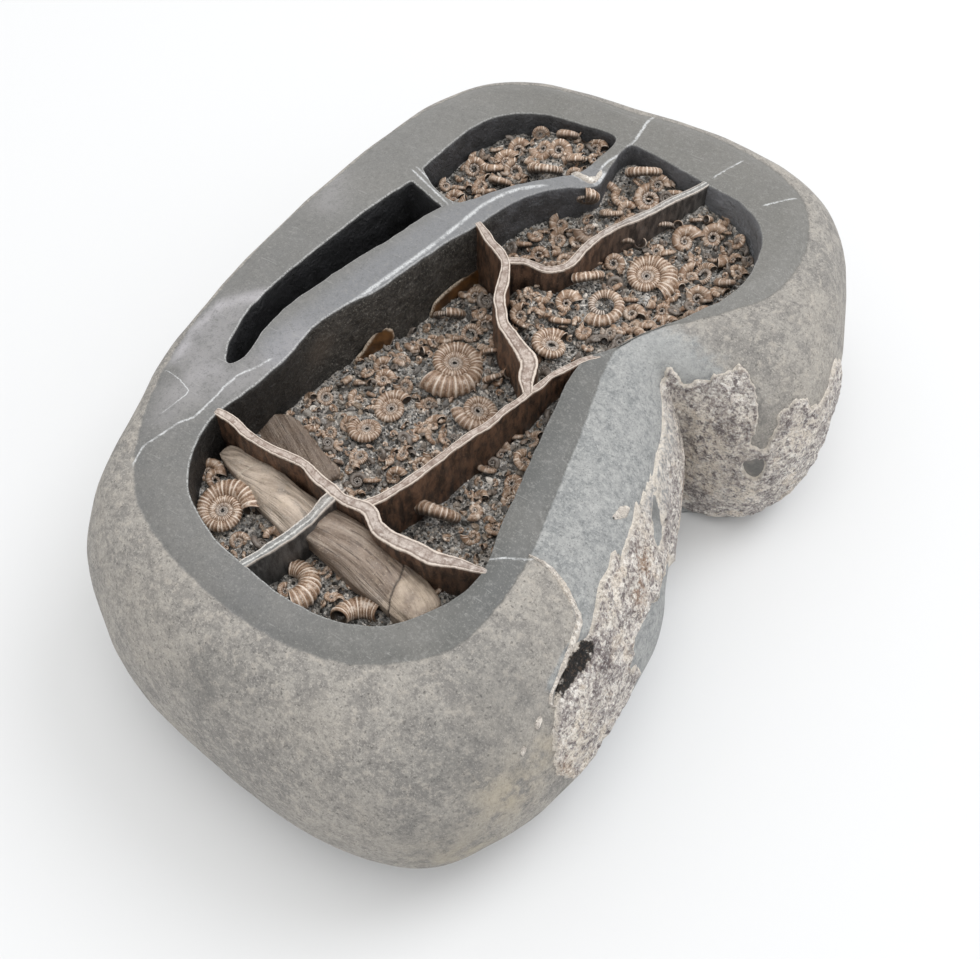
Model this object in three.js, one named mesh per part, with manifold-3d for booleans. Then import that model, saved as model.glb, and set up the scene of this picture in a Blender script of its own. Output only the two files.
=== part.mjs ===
// A limestone nodule with its top ground flat and hollowed out, so that the bed of small
// ammonites and fossil wood inside it shows between the standing calcite veins.
// Millimetres, +Z up. The nodule lies on z = 0, longest along Y, with its waist on the +X side.
import * as THREE from 'three';
import { mergeVertices } from 'three/addons/utils/BufferGeometryUtils.js';
import Module from 'manifold-3d';

const wasm = await Module();
wasm.setup();

// ---------- Driving dimensions ----------
const MIDDLE = [-2, 0.5]; // from the point where the outlines are drawn to the middle of the slab
const GAP = 0.3; // room between a piece and the seat it lies in
const PLATE_GAP = 0.42; // the same for the bowed plates
const TOP = 82; // height of the ground top
const RIM_FALL = 2; // how far the top falls to its outer edge
const BELLY = 34; // height at which the stone is widest
const CENTRE = [0, 50]; // a point from which the whole outline can be seen
const COLUMNS_PER_STATION = 2; // loft columns for each outline point
const RIM_ANGLES = [0, 20, 42, 66, 90]; // degrees round the shoulder, rim to belly
const FOOT_ANGLES = [38, 76]; // degrees round the underside, belly to foot

// The top is ground lower where the rim narrows at the waist.
const DIP = { x: 30, y: 22, depth: 4, spread: 20 };
const TOP_INSETS = [5, 15]; // how far in from the rim the top levels off

// The three outlines go round together, counterclockwise from the front left corner.
const RIM_LINE = [
  [-68, -84], [-57, -96], [-41, -104], [-21, -109], [0, -111], [20, -107.5], [34, -99],
  [43, -88], [46, -74], [46, -57], [43, -38], [40, -20], [37, -4], [33.5, 12], [33, 25],
  [40, 36], [50, 45], [59, 54.5], [66, 64], [69, 77], [67.5, 93], [60, 108], [47, 117],
  [27, 122], [8, 122.5], [-9, 120], [-28, 119], [-46, 115.5], [-62, 105.5], [-71.5, 89],
  [-78, 66], [-82, 40], [-85, 12], [-85.5, -15], [-83.5, -41], [-77, -67],
];
const BELLY_LINE = [
  [-80.5, -104], [-69.5, -116], [-51, -127], [-26.5, -134.5], [2, -138.5], [33, -139.5],
  [56.5, -131], [71.5, -112.5], [79.5, -91.5], [83, -62], [82, -38], [76, -18], [70, 0],
  [64, 16], [58, 28], [67, 27], [77, 27], [88, 31], [96.5, 43], [97.5, 63], [90, 90],
  [78.5, 118], [53.5, 134.5], [27.5, 137.5], [4, 136], [-14, 134], [-34, 132.5],
  [-54, 127], [-70.5, 114], [-81.5, 94], [-87, 67.5], [-91, 41], [-92.5, 12], [-93.5, -15],
  [-93.5, -44], [-88.5, -74.5],
];
const FOOT_LINE = [
  [-69, -93], [-59, -103], [-43, -113], [-22, -119], [1, -121], [26, -120], [45, -112],
  [57, -98], [63, -80], [66, -58], [66, -37], [64, -17], [62, 1], [62, 15], [64, 26],
  [70, 30], [77, 32], [83, 37], [87, 47], [86, 65], [79, 88], [68, 110], [48, 124],
  [26, 127], [5, 126], [-12, 123], [-30, 121], [-48, 115], [-62, 104], [-72, 89],
  [-77, 66], [-80, 40], [-82, 12], [-83, -14], [-84, -40], [-80, -68],
];

// ---------- The calcite veins: centre lines and half widths ----------
const VEINS = {
  septum_front: {
    half: 1.6,
    floor: 51,
    line: [[-61, -60], [-52, -60.5], [-44, -62.5], [-33, -63.5], [-24, -63], [-15, -65.5],
      [-8, -67], [1, -67], [6, -70], [14, -71], [23, -70.5], [31, -69], [42, -66]],
  },
  septum_long: {
    half: 1.3,
    floor: 51,
    line: [[-1, -66], [2.5, -60], [5.5, -52], [9.5, -40], [13.5, -28], [17, -16],
      [19.5, -6], [22, 3], [26, 12], [30, 18]],
  },
  septum_cross: {
    half: 1.7,
    floor: 62,
    line: [[-11, -66], [-11.5, -74], [-13, -82], [-16, -90], [-20, -100]],
  },
  septum_fork: {
    half: 2.1,
    floor: 50,
    line: [[-32, 46], [-22, 40], [-13, 34.5], [-10, 29], [-8, 23], [-5, 17.5], [-1, 12.5],
      [4, 9], [9, 6], [13, 3], [16, -3], [19, -8]],
  },
  septum_back: {
    half: 1.4,
    floor: 60,
    line: [[-13, 34.5], [-7, 37.5], [1, 38.5], [5, 43], [6.5, 52], [9, 61], [15, 72],
      [22.5, 86], [28.5, 98], [32, 106]],
  },
};

// ---------- The hollows cut down from the top ----------
const MAIN_HOLLOW = [
  [-56, -60], [-56, -67], [-53, -77], [-47, -86], [-38, -92], [-28, -96], [-18, -98],
  [-8, -100], [3, -100.5], [14, -99], [24, -94], [31, -86], [36, -77], [38, -67], [35, -52],
  [33, -38], [30.5, -22], [28.5, -8], [26.5, 4], [27, 14], [31, 22], [38, 34], [49, 47],
  [56, 59], [57.5, 73], [53, 88], [42, 96], [30, 98], [16, 101], [4, 103], [-2, 102.5],
  [-3, 88], [-3, 79], [-13, 72], [-20, 64], [-25, 54], [-28.5, 43], [-33, 32], [-38, 15],
  [-41, 4], [-46, -6], [-50, -18], [-50.5, -33], [-53, -49],
];
const BACK_HOLLOW = [
  [-58, 57], [-56.5, 68], [-54, 82], [-50, 91], [-44, 97], [-34, 102], [-22, 103.5],
  [-8, 103.5], [-8.5, 92], [-11, 82], [-20, 73], [-30, 62], [-36, 53], [-40, 49], [-49, 51],
];
const SLOT = [
  [-58, 50], [-43, 45], [-46.5, 36], [-50, 24], [-55, 10], [-59, -4], [-62, -15],
  [-63, -29], [-62, -40], [-64.5, -44], [-68, -40], [-71.5, -27], [-71.5, -14], [-69, 3],
  [-66, 20], [-62, 38],
];
const ABOVE_TOP = TOP + 8; // cuts start well above the ground top
const HOLLOW_FLOOR = 40; // the hollows reach this low under the bed
const SLOT_FLOOR = 37; // the narrow slot has no bed in it

// ---------- The fossil bed ----------
// Heights of the bed at places in the hollows: x, y, z.
const BED_HEIGHTS = [
  [-44, -78, 65], [-25, -84, 66], [0, -84, 69], [24, -82, 69], [-45, -50, 58],
  [-44, -20, 50], [-30, -40, 55], [-10, -50, 55], [-20, -10, 54], [-33, 15, 51],
  [0, -20, 55], [-15, 22, 56], [8, -8, 56], [16, -57, 61], [25, -42, 63], [24, -18, 65],
  [24, 0, 66], [10, 24, 67], [30, 45, 67], [42, 75, 67], [16, 55, 66], [-18, 48, 63],
  [-5, 62, 64], [8, 82, 66], [10, 98, 68], [-46, 62, 68], [-50, 80, 69], [-35, 80, 72],
  [-25, 98, 75], [-14, 90, 74], [-30, 70, 70],
];
const BED_CELL = 9; // grid size of the bed's surface
const BED_SMOOTHING = 2; // how far a given height holds before it blends with its neighbours
const BED_FALLOFF = 3; // how fast a given height's pull falls with distance
const BED_BOX = { x0: -77, x1: 67, y0: -108, y1: 108, z0: 37 };
const BED_WAVE = { height: 0.8, length: 23, phase: 1 };
const LUMPS = 28; // small shells that are one with the bed
const LUMP_RADIUS = [2.2, 3.6];
const LUMP_FLATNESS = 0.55;
const LUMP_SPACING = 0.4; // from one to the next
const LUMP_MARGIN = 0.6; // from a lump to a vein or a larger shell
const LUMP_LOG_MARGIN = 8.5; // from a lump to the middle line of a log

// ---------- The ammonites that stand out: x, y, diameter, facing, tilt and its azimuth ----------
const LARGE = { steps: 16, whorls: 2, ribs: 0.1 };
const SMALL = { steps: 12, whorls: 1.5, ribs: 0.08 };
const AMMONITES = [
  [-18, 5, 17, 200, 4, 0, LARGE], [-26, -17, 11.5, 60, 12, 250, LARGE],
  [-30, -29, 10.5, 160, 10, 120, LARGE], [-2, -9, 13.5, 250, 16, 20, LARGE],
  [-25.5, 21.5, 11, 300, 28, 270, SMALL], [-10.5, 13.5, 7, 30, 10, 90, SMALL],
  [-23, -42, 7, 140, 8, 200, SMALL], [-42, -17, 7, 90, 14, 320, SMALL],
  [28, 60, 17, 330, 6, 270, LARGE], [23, 43, 14.5, 190, 10, 250, LARGE],
  [40, 70, 8, 45, 12, 180, SMALL], [12.2, 50.5, 9.5, 260, 30, 280, SMALL],
  [13, 21, 13, 75, 8, 60, LARGE], [28.5, 79.5, 10, 10, 24, 300, SMALL],
  [9, 95, 8, 220, 14, 270, SMALL], [2, 80, 9, 120, 30, 280, SMALL],
  [-38.5, -84, 14.5, 110, 8, 300, LARGE], [11.5, -93.3, 10.5, 350, 26, 250, SMALL],
  [-7, -89.5, 10.5, 95, 26, 190, SMALL], [13.5, -52, 13, 205, 24, 320, SMALL],
  [-34, 95, 10, 140, 24, 280, SMALL], [-21, 90, 9, 60, 12, 250, SMALL],
];
const WHORL_GROWTH = 1.85; // each whorl is this much wider than the one inside it
const SHELL_DEPTH = 0.3; // half thickness of a shell against its radius
const SHELL_RISE = 0.05; // height of a shell's widest level over the bed, against its width
const CREST = 0.45; // height of a whorl's crest besides its own width
const GROOVE_DEPTH = 0.12; // how far the groove lies under the shell's widest level
const NAVEL_DEPTH = 0.14; // how far the spiral's middle lies under it
const BASE_WIDTH = 0.9; // the flat underside against the widest level
const SEAT_SIDES = 8;
const SEAT_HEIGHT = 14;
const SEAT_ROOM = 1.04; // a spiral is a little wider one way than the other

// ---------- Fossil wood, shell flakes and crust ----------
// Sections of a log along its length: x, y, z of the middle, half width, half height.
const LOG_LEFT = [
  [-50, -66.5, 67.5, 3, 2.6], [-43, -68, 68, 4.6, 4.4], [-35, -70.5, 68, 5.4, 5],
  [-26, -73.5, 68, 6.2, 5.6], [-17, -75.5, 68, 6, 5.2],
];
const LOG_RIGHT = [
  [-8.5, -75, 70, 7, 4.6], [-1, -76, 70.5, 8, 5.6], [8, -78.5, 70.5, 8.2, 5.8],
  [17, -80.5, 70, 8, 5.4], [25, -82, 70, 5.6, 4.4],
];
const LOG_SIDES = 10;
const LOG_ROUGHNESS = { height: 0.09, around: 2.4, along: 1.7 };
const WOOD_SHEET = { length: 26, width: 13, thick: 2.4, x: -44, y: -50, z: 61, turn: -30, lean: 16 };
const FLAKES = {
  shell_flake_left: { length: 15, width: 8, x: -39.5, y: -5, z: 56, turn: 66, lean: 52 },
  shell_flake_right: { length: 18, width: 7, x: -31, y: 29.5, z: 58, turn: 68, lean: 56 },
};
const FLAKE = { thick: 1.4, bow: 1.2 };
const PLATE_CELLS = [4, 3, 1];
const EDGE_WAVE = { height: 0.05, turns: 9, phase: 1 }; // how a plate's ends wander

// The calcite crust's edge, drawn flat as seen from the side it faces: across to the right, then z.
const CRUST_FACING = -60; // degrees from +X
const CRUST_REACH = [-30, 130]; // along that facing, from the middle
const CRUST_THICK = 1.5;
const CRUST_GAP = 0.6; // measured along the shoulder's slant, so it narrows in the waist's fold
const CRUST_EDGE = [
  [57, 71], [63, 67], [69, 70], [80, 73], [84, 67], [85.5, 56], [84.5, 51], [89, 50],
  [92, 61], [98, 64], [105, 58], [108, 57], [113, 62], [117, 53], [117, 40], [112, 28],
  [103, 14], [92, 8], [80, 5], [70, 3], [64, 8], [60, 20], [56, 42], [52, 52], [49, 54],
  [43, 56], [41, 50], [45, 42], [41, 39], [33, 36], [26, 35], [20, 44], [18, 62],
  [20, 69], [28, 70], [33, 73], [41, 71], [48, 68], [54, 65],
];

const MATERIALS = {
  limestone: { color: 0x85847f, roughness: 0.75, metalness: 0 },
  calcite: { color: 0xcfc0b4, roughness: 0.45, metalness: 0 },
  wood: { color: 0x7c6a58, roughness: 0.6, metalness: 0 },
  shell: { color: 0x8a5a33, roughness: 0.35, metalness: 0 },
  ammonite: { color: 0xa07a58, roughness: 0.5, metalness: 0 },
  crust: { color: 0xcbb8a6, roughness: 0.8, metalness: 0 },
};

// ---------- Solids ----------
function toSolid(geometry) {
  geometry.deleteAttribute('normal');
  geometry.deleteAttribute('uv');
  const merged = mergeVertices(geometry, 1e-4);
  return new wasm.Manifold(new wasm.Mesh({
    numProp: 3,
    vertProperties: new Float32Array(merged.attributes.position.array),
    triVerts: new Uint32Array(merged.index.array),
  }));
}

function toGeometry(solid) {
  const mesh = solid.getMesh();
  const geometry = new THREE.BufferGeometry();
  geometry.setAttribute('position', new THREE.BufferAttribute(mesh.vertProperties, 3));
  geometry.setIndex(new THREE.BufferAttribute(mesh.triVerts, 1));
  geometry.computeVertexNormals();
  return geometry;
}

function fromTriangles(points, triangles) {
  const geometry = new THREE.BufferGeometry();
  geometry.setFromPoints(points);
  geometry.setIndex(triangles.flat());
  return geometry;
}

// Rings of equal length, counterclockwise from above and listed upwards, with a fan at each end.
function ringSolid(rings, lowCentre, highCentre) {
  const count = rings[0].length;
  const points = [...rings.flat(), lowCentre, highCentre];
  const low = points.length - 2;
  const high = points.length - 1;
  const last = (rings.length - 1) * count;
  const triangles = [];
  for (let i = 0; i < count; i += 1) {
    const next = (i + 1) % count;
    triangles.push([low, next, i]);
    triangles.push([high, last + i, last + next]);
    for (let ring = 0; ring < rings.length - 1; ring += 1) {
      const a = ring * count;
      const b = a + count;
      triangles.push([a + i, a + next, b + next]);
      triangles.push([a + i, b + next, b + i]);
    }
  }
  return toSolid(fromTriangles(points, triangles));
}

function smoothLoop(points) {
  const curve = new THREE.CatmullRomCurve3(
    points.map(([x, y]) => new THREE.Vector3(x, y, 0)), true, 'centripetal');
  return curve.getPoints(points.length * COLUMNS_PER_STATION).slice(0, -1);
}

function prism(outline, low, high) {
  const shape = new THREE.Shape(outline.map(([x, y]) => new THREE.Vector2(x, y)));
  const geometry = new THREE.ExtrudeGeometry(shape, { depth: high - low, bevelEnabled: false });
  return toSolid(geometry.translate(0, 0, low));
}

// ---------- The nodule's outside ----------
function topHeight(x, y) {
  const distance = Math.hypot(x - DIP.x, y - DIP.y);
  return TOP - DIP.depth * Math.exp(-(distance ** 2) / (2 * DIP.spread ** 2));
}

function outerRings() {
  const rim = smoothLoop(RIM_LINE);
  const belly = smoothLoop(BELLY_LINE);
  const foot = smoothLoop(FOOT_LINE);
  const rimHeights = rim.map((point) => topHeight(point.x, point.y) - RIM_FALL);
  const footEnd = THREE.MathUtils.degToRad(FOOT_ANGLES.at(-1));
  const under = FOOT_ANGLES.map((degrees) => {
    const angle = THREE.MathUtils.degToRad(degrees);
    const inward = (1 - Math.cos(angle)) / (1 - Math.cos(footEnd));
    const z = BELLY * (1 - Math.sin(angle) / Math.sin(footEnd));
    return belly.map((point, i) => point.clone().lerp(foot[i], inward).setZ(z));
  });
  const shoulder = RIM_ANGLES.map((degrees) => {
    const angle = THREE.MathUtils.degToRad(degrees);
    return rim.map((point, i) => point.clone().lerp(belly[i], Math.sin(angle))
      .setZ(BELLY + (rimHeights[i] - BELLY) * Math.cos(angle)));
  });
  return [...under.reverse(), ...shoulder.reverse()];
}

// The ground top: a narrow fall at the edge and a level middle that follows the dip.
function topRings(rim) {
  const count = rim.length;
  return TOP_INSETS.map((inset) => rim.map((point, i) => {
    const along = rim[(i + 1) % count].clone().sub(rim[(i + count - 1) % count]);
    const inward = new THREE.Vector2(-along.y, along.x).setLength(inset);
    const x = point.x + inward.x;
    const y = point.y + inward.y;
    return new THREE.Vector3(x, y, topHeight(x, y));
  }));
}

function outside(offset) {
  const rings = outerRings();
  const count = rings[0].length;
  const moved = rings.map((ring, r) => ring.map((point, i) => {
    const along = ring[(i + 1) % count].clone().sub(ring[(i + count - 1) % count]);
    const above = rings[Math.min(r + 1, rings.length - 1)][i];
    const below = rings[Math.max(r - 1, 0)][i];
    const normal = along.cross(above.clone().sub(below)).normalize();
    return point.clone().addScaledVector(normal, offset);
  }));
  const all = [...moved, ...topRings(moved.at(-1))];
  const lowCentre = new THREE.Vector3(CENTRE[0], CENTRE[1], moved[0][0].z);
  const highCentre = new THREE.Vector3(CENTRE[0], CENTRE[1], TOP + offset);
  return ringSolid(all, lowCentre, highCentre);
}

function crustSolid() {
  const shape = new THREE.Shape(CRUST_EDGE.map(([across, z]) => new THREE.Vector2(across, z)));
  const [back, front] = CRUST_REACH;
  const block = new THREE.ExtrudeGeometry(shape, { depth: front - back, bevelEnabled: false });
  block.translate(0, 0, back).rotateX(Math.PI / 2);
  block.rotateZ(THREE.MathUtils.degToRad(CRUST_FACING + 90));
  return outside(CRUST_GAP + CRUST_THICK).subtract(outside(CRUST_GAP)).intersect(toSolid(block));
}

// ---------- The bed in the hollows ----------
function bedHeight(x, y) {
  let sum = 0;
  let weights = 0;
  for (const [px, py, z] of BED_HEIGHTS) {
    const distance = Math.hypot(x - px, y - py, BED_SMOOTHING);
    const weight = distance ** -BED_FALLOFF;
    sum += weight * z;
    weights += weight;
  }
  const k = (2 * Math.PI) / BED_WAVE.length;
  return sum / weights + BED_WAVE.height * Math.sin(k * x + BED_WAVE.phase) * Math.sin(k * y);
}

function bedSolid() {
  const { x0, x1, y0, y1, z0 } = BED_BOX;
  const columns = Math.round((x1 - x0) / BED_CELL);
  const rows = Math.round((y1 - y0) / BED_CELL);
  const box = new THREE.BoxGeometry(x1 - x0, y1 - y0, 1, columns, rows, 1);
  box.translate((x0 + x1) / 2, (y0 + y1) / 2, 0);
  const at = box.attributes.position;
  for (let i = 0; i < at.count; i += 1) {
    at.setZ(i, at.getZ(i) > 0 ? bedHeight(at.getX(i), at.getY(i)) : z0);
  }
  return toSolid(box);
}

// ---------- Calcite veins ----------
function ribbonOutline({ line, half }, extra) {
  const middle = line.map(([x, y]) => new THREE.Vector3(x, y, 0));
  const sides = { left: [], right: [] };
  middle.forEach((point, i) => {
    const before = middle[Math.max(i - 1, 0)];
    const after = middle[Math.min(i + 1, middle.length - 1)];
    const along = after.clone().sub(before).normalize();
    const isEnd = i === 0 || i === middle.length - 1;
    const push = isEnd ? extra * (i === 0 ? -1 : 1) : 0;
    const base = point.clone().addScaledVector(along, push);
    const across = new THREE.Vector3(-along.y, along.x, 0).multiplyScalar(half + extra);
    sides.left.push([base.x + across.x, base.y + across.y]);
    sides.right.unshift([base.x - across.x, base.y - across.y]);
  });
  return [...sides.left, ...sides.right];
}

function ribbon(name, extra) {
  const vein = VEINS[name];
  return prism(ribbonOutline(vein, extra), vein.floor - extra, ABOVE_TOP);
}

// A vein stands up to the ground top and stops short of the veins that it meets.
function veinSolid(name, body, meets) {
  let solid = ribbon(name, 0).intersect(body);
  for (const other of meets) {
    solid = solid.subtract(ribbon(other, GAP));
  }
  return solid;
}

// ---------- Ammonites ----------
// From the middle of the spiral to its mouth, for a shell of this full width.
function shellRadius(diameter) {
  return diameter / (1 + WHORL_GROWTH ** -0.5);
}

// The upper side is a spiral of whorls with a groove between them; the underside is flat.
function ammoniteGeometry(radius, { steps, whorls, ribs }) {
  const growth = Math.log(WHORL_GROWTH) / steps;
  const shift = (radius * (1 - WHORL_GROWTH ** -0.5)) / 2; // brings the disc's middle to the origin
  const grooves = steps * (whorls + 1);
  const edge = (n) => radius * Math.exp(-growth * n) * (n % 2 ? 1 - ribs : 1);
  const polar = (r, n, z) => {
    const angle = (2 * Math.PI * n) / steps;
    return new THREE.Vector3(r * Math.cos(angle) - shift, r * Math.sin(angle), z);
  };
  const points = [];
  const groove = [];
  const crest = [];
  const base = [];
  const add = (list, point) => {
    list.push(points.length);
    points.push(point);
  };
  for (let n = 0; n <= grooves; n += 1) {
    add(groove, polar(edge(n), n, n < steps ? 0 : -GROOVE_DEPTH * radius));
  }
  for (let n = 0; n <= steps * whorls; n += 1) {
    const width = edge(n) - edge(n + steps);
    const rise = radius * SHELL_DEPTH * (CREST + width / radius) * (n % 2 ? 1 - ribs * 2 : 1);
    add(crest, polar((edge(n) + edge(n + steps)) / 2, n, rise));
  }
  for (let n = 0; n <= steps; n += 1) {
    add(base, polar(edge(n) * BASE_WIDTH, n, -radius * SHELL_DEPTH));
  }
  const middle = points.push(polar(0, 0, -NAVEL_DEPTH * radius)) - 1;
  const under = points.push(polar(0, 0, -radius * SHELL_DEPTH)) - 1;
  const triangles = [];
  for (let n = 0; n < steps * whorls; n += 1) {
    triangles.push([groove[n], groove[n + 1], crest[n + 1]], [groove[n], crest[n + 1], crest[n]]);
    triangles.push([crest[n], crest[n + 1], groove[n + steps + 1]]);
    triangles.push([crest[n], groove[n + steps + 1], groove[n + steps]]);
  }
  const core = steps * whorls;
  triangles.push([crest[core], groove[core], middle]);
  for (let n = core; n < grooves; n += 1) {
    triangles.push([groove[n], groove[n + 1], middle]);
  }
  triangles.push([groove[grooves], crest[core], middle]);
  for (let n = 0; n < steps; n += 1) {
    triangles.push([base[n], base[n + 1], groove[n + 1]], [base[n], groove[n + 1], groove[n]]);
  }
  triangles.push([under, base[1], base[steps]], [base[steps], base[1], base[0]]);
  for (let n = 1; n < steps; n += 1) {
    triangles.push([under, base[n + 1], base[n]]);
  }
  // the mouth closes the open end of the outer whorl
  triangles.push([groove[0], crest[0], base[0]], [crest[0], groove[steps], base[steps]]);
  triangles.push([crest[0], base[steps], base[0]]);
  return fromTriangles(points, triangles);
}

// Where each ammonite lies: on the bed, turned by its facing and then tipped.
function ammonitePlace([x, y, diameter, facing, tilt, tiltAzimuth]) {
  const azimuth = THREE.MathUtils.degToRad(tiltAzimuth);
  const axis = new THREE.Vector3(-Math.sin(azimuth), Math.cos(azimuth), 0);
  const turn = new THREE.Quaternion().setFromAxisAngle(
    new THREE.Vector3(0, 0, 1), THREE.MathUtils.degToRad(facing));
  const tip = new THREE.Quaternion().setFromAxisAngle(axis, THREE.MathUtils.degToRad(tilt));
  const position = new THREE.Vector3(x, y, bedHeight(x, y) + SHELL_RISE * diameter);
  return new THREE.Matrix4().compose(position, tip.multiply(turn), new THREE.Vector3(1, 1, 1));
}

function ammoniteSeat(entry) {
  const radius = (SEAT_ROOM * entry[2] / 2 + GAP) / Math.cos(Math.PI / SEAT_SIDES);
  const low = -shellRadius(entry[2]) * SHELL_DEPTH - GAP;
  const cup = new THREE.CylinderGeometry(radius, radius, SEAT_HEIGHT, SEAT_SIDES);
  cup.rotateX(Math.PI / 2).translate(0, 0, low + SEAT_HEIGHT / 2);
  return toSolid(cup.applyMatrix4(ammonitePlace(entry)));
}

// ---------- Small shells that are one with the bed ----------
function distanceToLine([x, y], line) {
  const point = new THREE.Vector3(x, y, 0);
  let nearest = Infinity;
  for (let i = 1; i < line.length; i += 1) {
    const span = new THREE.Line3(
      new THREE.Vector3(...line[i - 1], 0), new THREE.Vector3(...line[i], 0));
    const foot = span.closestPointToPoint(point, true, new THREE.Vector3());
    nearest = Math.min(nearest, foot.distanceTo(point));
  }
  return nearest;
}

function isInside([x, y], outline) {
  let inside = false;
  outline.forEach(([ax, ay], i) => {
    const [bx, by] = outline[(i + 1) % outline.length];
    const isCrossed = (ay > y) !== (by > y) && x < ax + ((bx - ax) * (y - ay)) / (by - ay);
    inside = inside !== isCrossed;
  });
  return inside;
}

// Numbers between 0 and 1 that always come in the same order.
function makeRandom(seed) {
  let state = seed;
  return () => {
    state = (state * 1103515245 + 12345) % 2147483648;
    return state / 2147483648;
  };
}

function isFree(spot, radius) {
  if (!isInside(spot, MAIN_HOLLOW) && !isInside(spot, BACK_HOLLOW)) return false;
  const offVeins = Object.values(VEINS)
    .every(({ line, half }) => distanceToLine(spot, line) > half + radius + LUMP_MARGIN);
  const offShells = AMMONITES.every(([x, y, diameter]) => (
    Math.hypot(spot[0] - x, spot[1] - y) > diameter / 2 + radius + LUMP_MARGIN));
  const offLogs = [LOG_LEFT, LOG_RIGHT]
    .every((log) => distanceToLine(spot, log.map(([x, y]) => [x, y])) > radius + LUMP_LOG_MARGIN);
  const offFlakes = [WOOD_SHEET, ...Object.values(FLAKES)]
    .every(({ x, y, length }) => Math.hypot(spot[0] - x, spot[1] - y) > length / 2 + radius);
  return offVeins && offShells && offLogs && offFlakes;
}

function lumpSolids() {
  const random = makeRandom(7);
  const placed = [];
  while (placed.length < LUMPS) {
    const spot = [
      THREE.MathUtils.lerp(BED_BOX.x0, BED_BOX.x1, random()),
      THREE.MathUtils.lerp(BED_BOX.y0, BED_BOX.y1, random()),
    ];
    const radius = THREE.MathUtils.lerp(LUMP_RADIUS[0], LUMP_RADIUS[1], random());
    const turn = random() * Math.PI;
    const apart = placed.every((lump) => (
      Math.hypot(spot[0] - lump.spot[0], spot[1] - lump.spot[1])
        > radius + lump.radius + LUMP_SPACING));
    if (apart && isFree(spot, radius)) {
      placed.push({ spot, radius, turn });
    }
  }
  return placed.map(({ spot, radius, turn }) => {
    const lump = new THREE.IcosahedronGeometry(radius, 0);
    lump.scale(1, 1, LUMP_FLATNESS).rotateZ(turn);
    return toSolid(lump.translate(spot[0], spot[1], bedHeight(...spot)));
  });
}

// ---------- Fossil wood and shell flakes ----------
function logSolid(sections, extra) {
  const middles = sections.map(([x, y, z]) => new THREE.Vector3(x, y, z));
  const along = middles.at(-1).clone().sub(middles[0]).setZ(0).normalize();
  const across = new THREE.Vector3(-along.y, along.x, 0);
  const ends = [middles[0], middles.at(-1)];
  ends[0].addScaledVector(along, -extra);
  ends[1].addScaledVector(along, extra);
  const rings = sections.map(([, , , halfWidth, halfHeight], s) => {
    const ring = [];
    for (let i = 0; i < LOG_SIDES; i += 1) {
      const angle = (2 * Math.PI * i) / LOG_SIDES;
      const wave = LOG_ROUGHNESS.around * i + LOG_ROUGHNESS.along * s;
      const rough = 1 + LOG_ROUGHNESS.height * Math.sin(wave);
      const side = across.clone().multiplyScalar((halfWidth * rough + extra) * Math.cos(angle));
      const rise = (halfHeight * rough + extra) * Math.sin(angle);
      ring.push(middles[s].clone().add(side).add(new THREE.Vector3(0, 0, rise)));
    }
    return ring;
  });
  return ringSolid(rings, ends[0], ends[1]);
}

// A thin plate, bowed along its width, turned about Z and leaning back against what is behind it.
function plateSolid({ length, width, thick, x, y, z, turn, lean, bow = 0 }, extra) {
  const plate = new THREE.BoxGeometry(
    length + 2 * extra, width + 2 * extra, thick + 2 * extra, ...PLATE_CELLS);
  const at = plate.attributes.position;
  for (let i = 0; i < at.count; i += 1) {
    const across = (2 * at.getY(i)) / (width + 2 * extra);
    const wander = EDGE_WAVE.height * length * Math.sin(EDGE_WAVE.turns * across + EDGE_WAVE.phase);
    at.setZ(i, at.getZ(i) - bow * across * across);
    at.setX(i, at.getX(i) + wander * Math.sign(at.getX(i)));
  }
  plate.rotateX(THREE.MathUtils.degToRad(lean)).rotateZ(THREE.MathUtils.degToRad(turn));
  return toSolid(plate.translate(x, y, z));
}

// ---------- The parts ----------
const slab = new THREE.Group();
slab.name = 'ammonite_slab';

function addPart(name, geometry, material) {
  geometry.computeVertexNormals();
  const mesh = new THREE.Mesh(geometry, new THREE.MeshStandardMaterial(material));
  mesh.name = name;
  slab.add(mesh);
}

const body = outside(0);
const flakes = Object.entries(FLAKES).map(([name, place]) => [name, { ...FLAKE, ...place }]);

const bed = bedSolid();
const hollows = prism(MAIN_HOLLOW, HOLLOW_FLOOR, ABOVE_TOP)
  .add(prism(BACK_HOLLOW, HOLLOW_FLOOR, ABOVE_TOP))
  .subtract(bed);
const seats = [
  ...AMMONITES.map(ammoniteSeat),
  ...Object.keys(VEINS).map((name) => ribbon(name, GAP)),
  ...[LOG_LEFT, LOG_RIGHT].map((log) => logSolid(log, GAP)),
  ...[WOOD_SHEET, ...flakes.map(([, place]) => place)].map((plate) => plateSolid(plate, PLATE_GAP)),
];
const openStone = body.subtract(hollows).subtract(prism(SLOT, SLOT_FLOOR, ABOVE_TOP));
const roughStone = lumpSolids().reduce((stone, lump) => stone.add(lump), openStone);
const nodule = seats.reduce((stone, seat) => stone.subtract(seat), roughStone);
addPart('nodule', toGeometry(nodule), MATERIALS.limestone);

const MEETS = {
  septum_front: [],
  septum_long: ['septum_front'],
  septum_cross: ['septum_front'],
  septum_fork: ['septum_long'],
  septum_back: ['septum_fork'],
};
for (const [name, meets] of Object.entries(MEETS)) {
  addPart(name, toGeometry(veinSolid(name, body, meets)), MATERIALS.calcite);
}

addPart('calcite_crust', toGeometry(crustSolid()), MATERIALS.crust);

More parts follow.
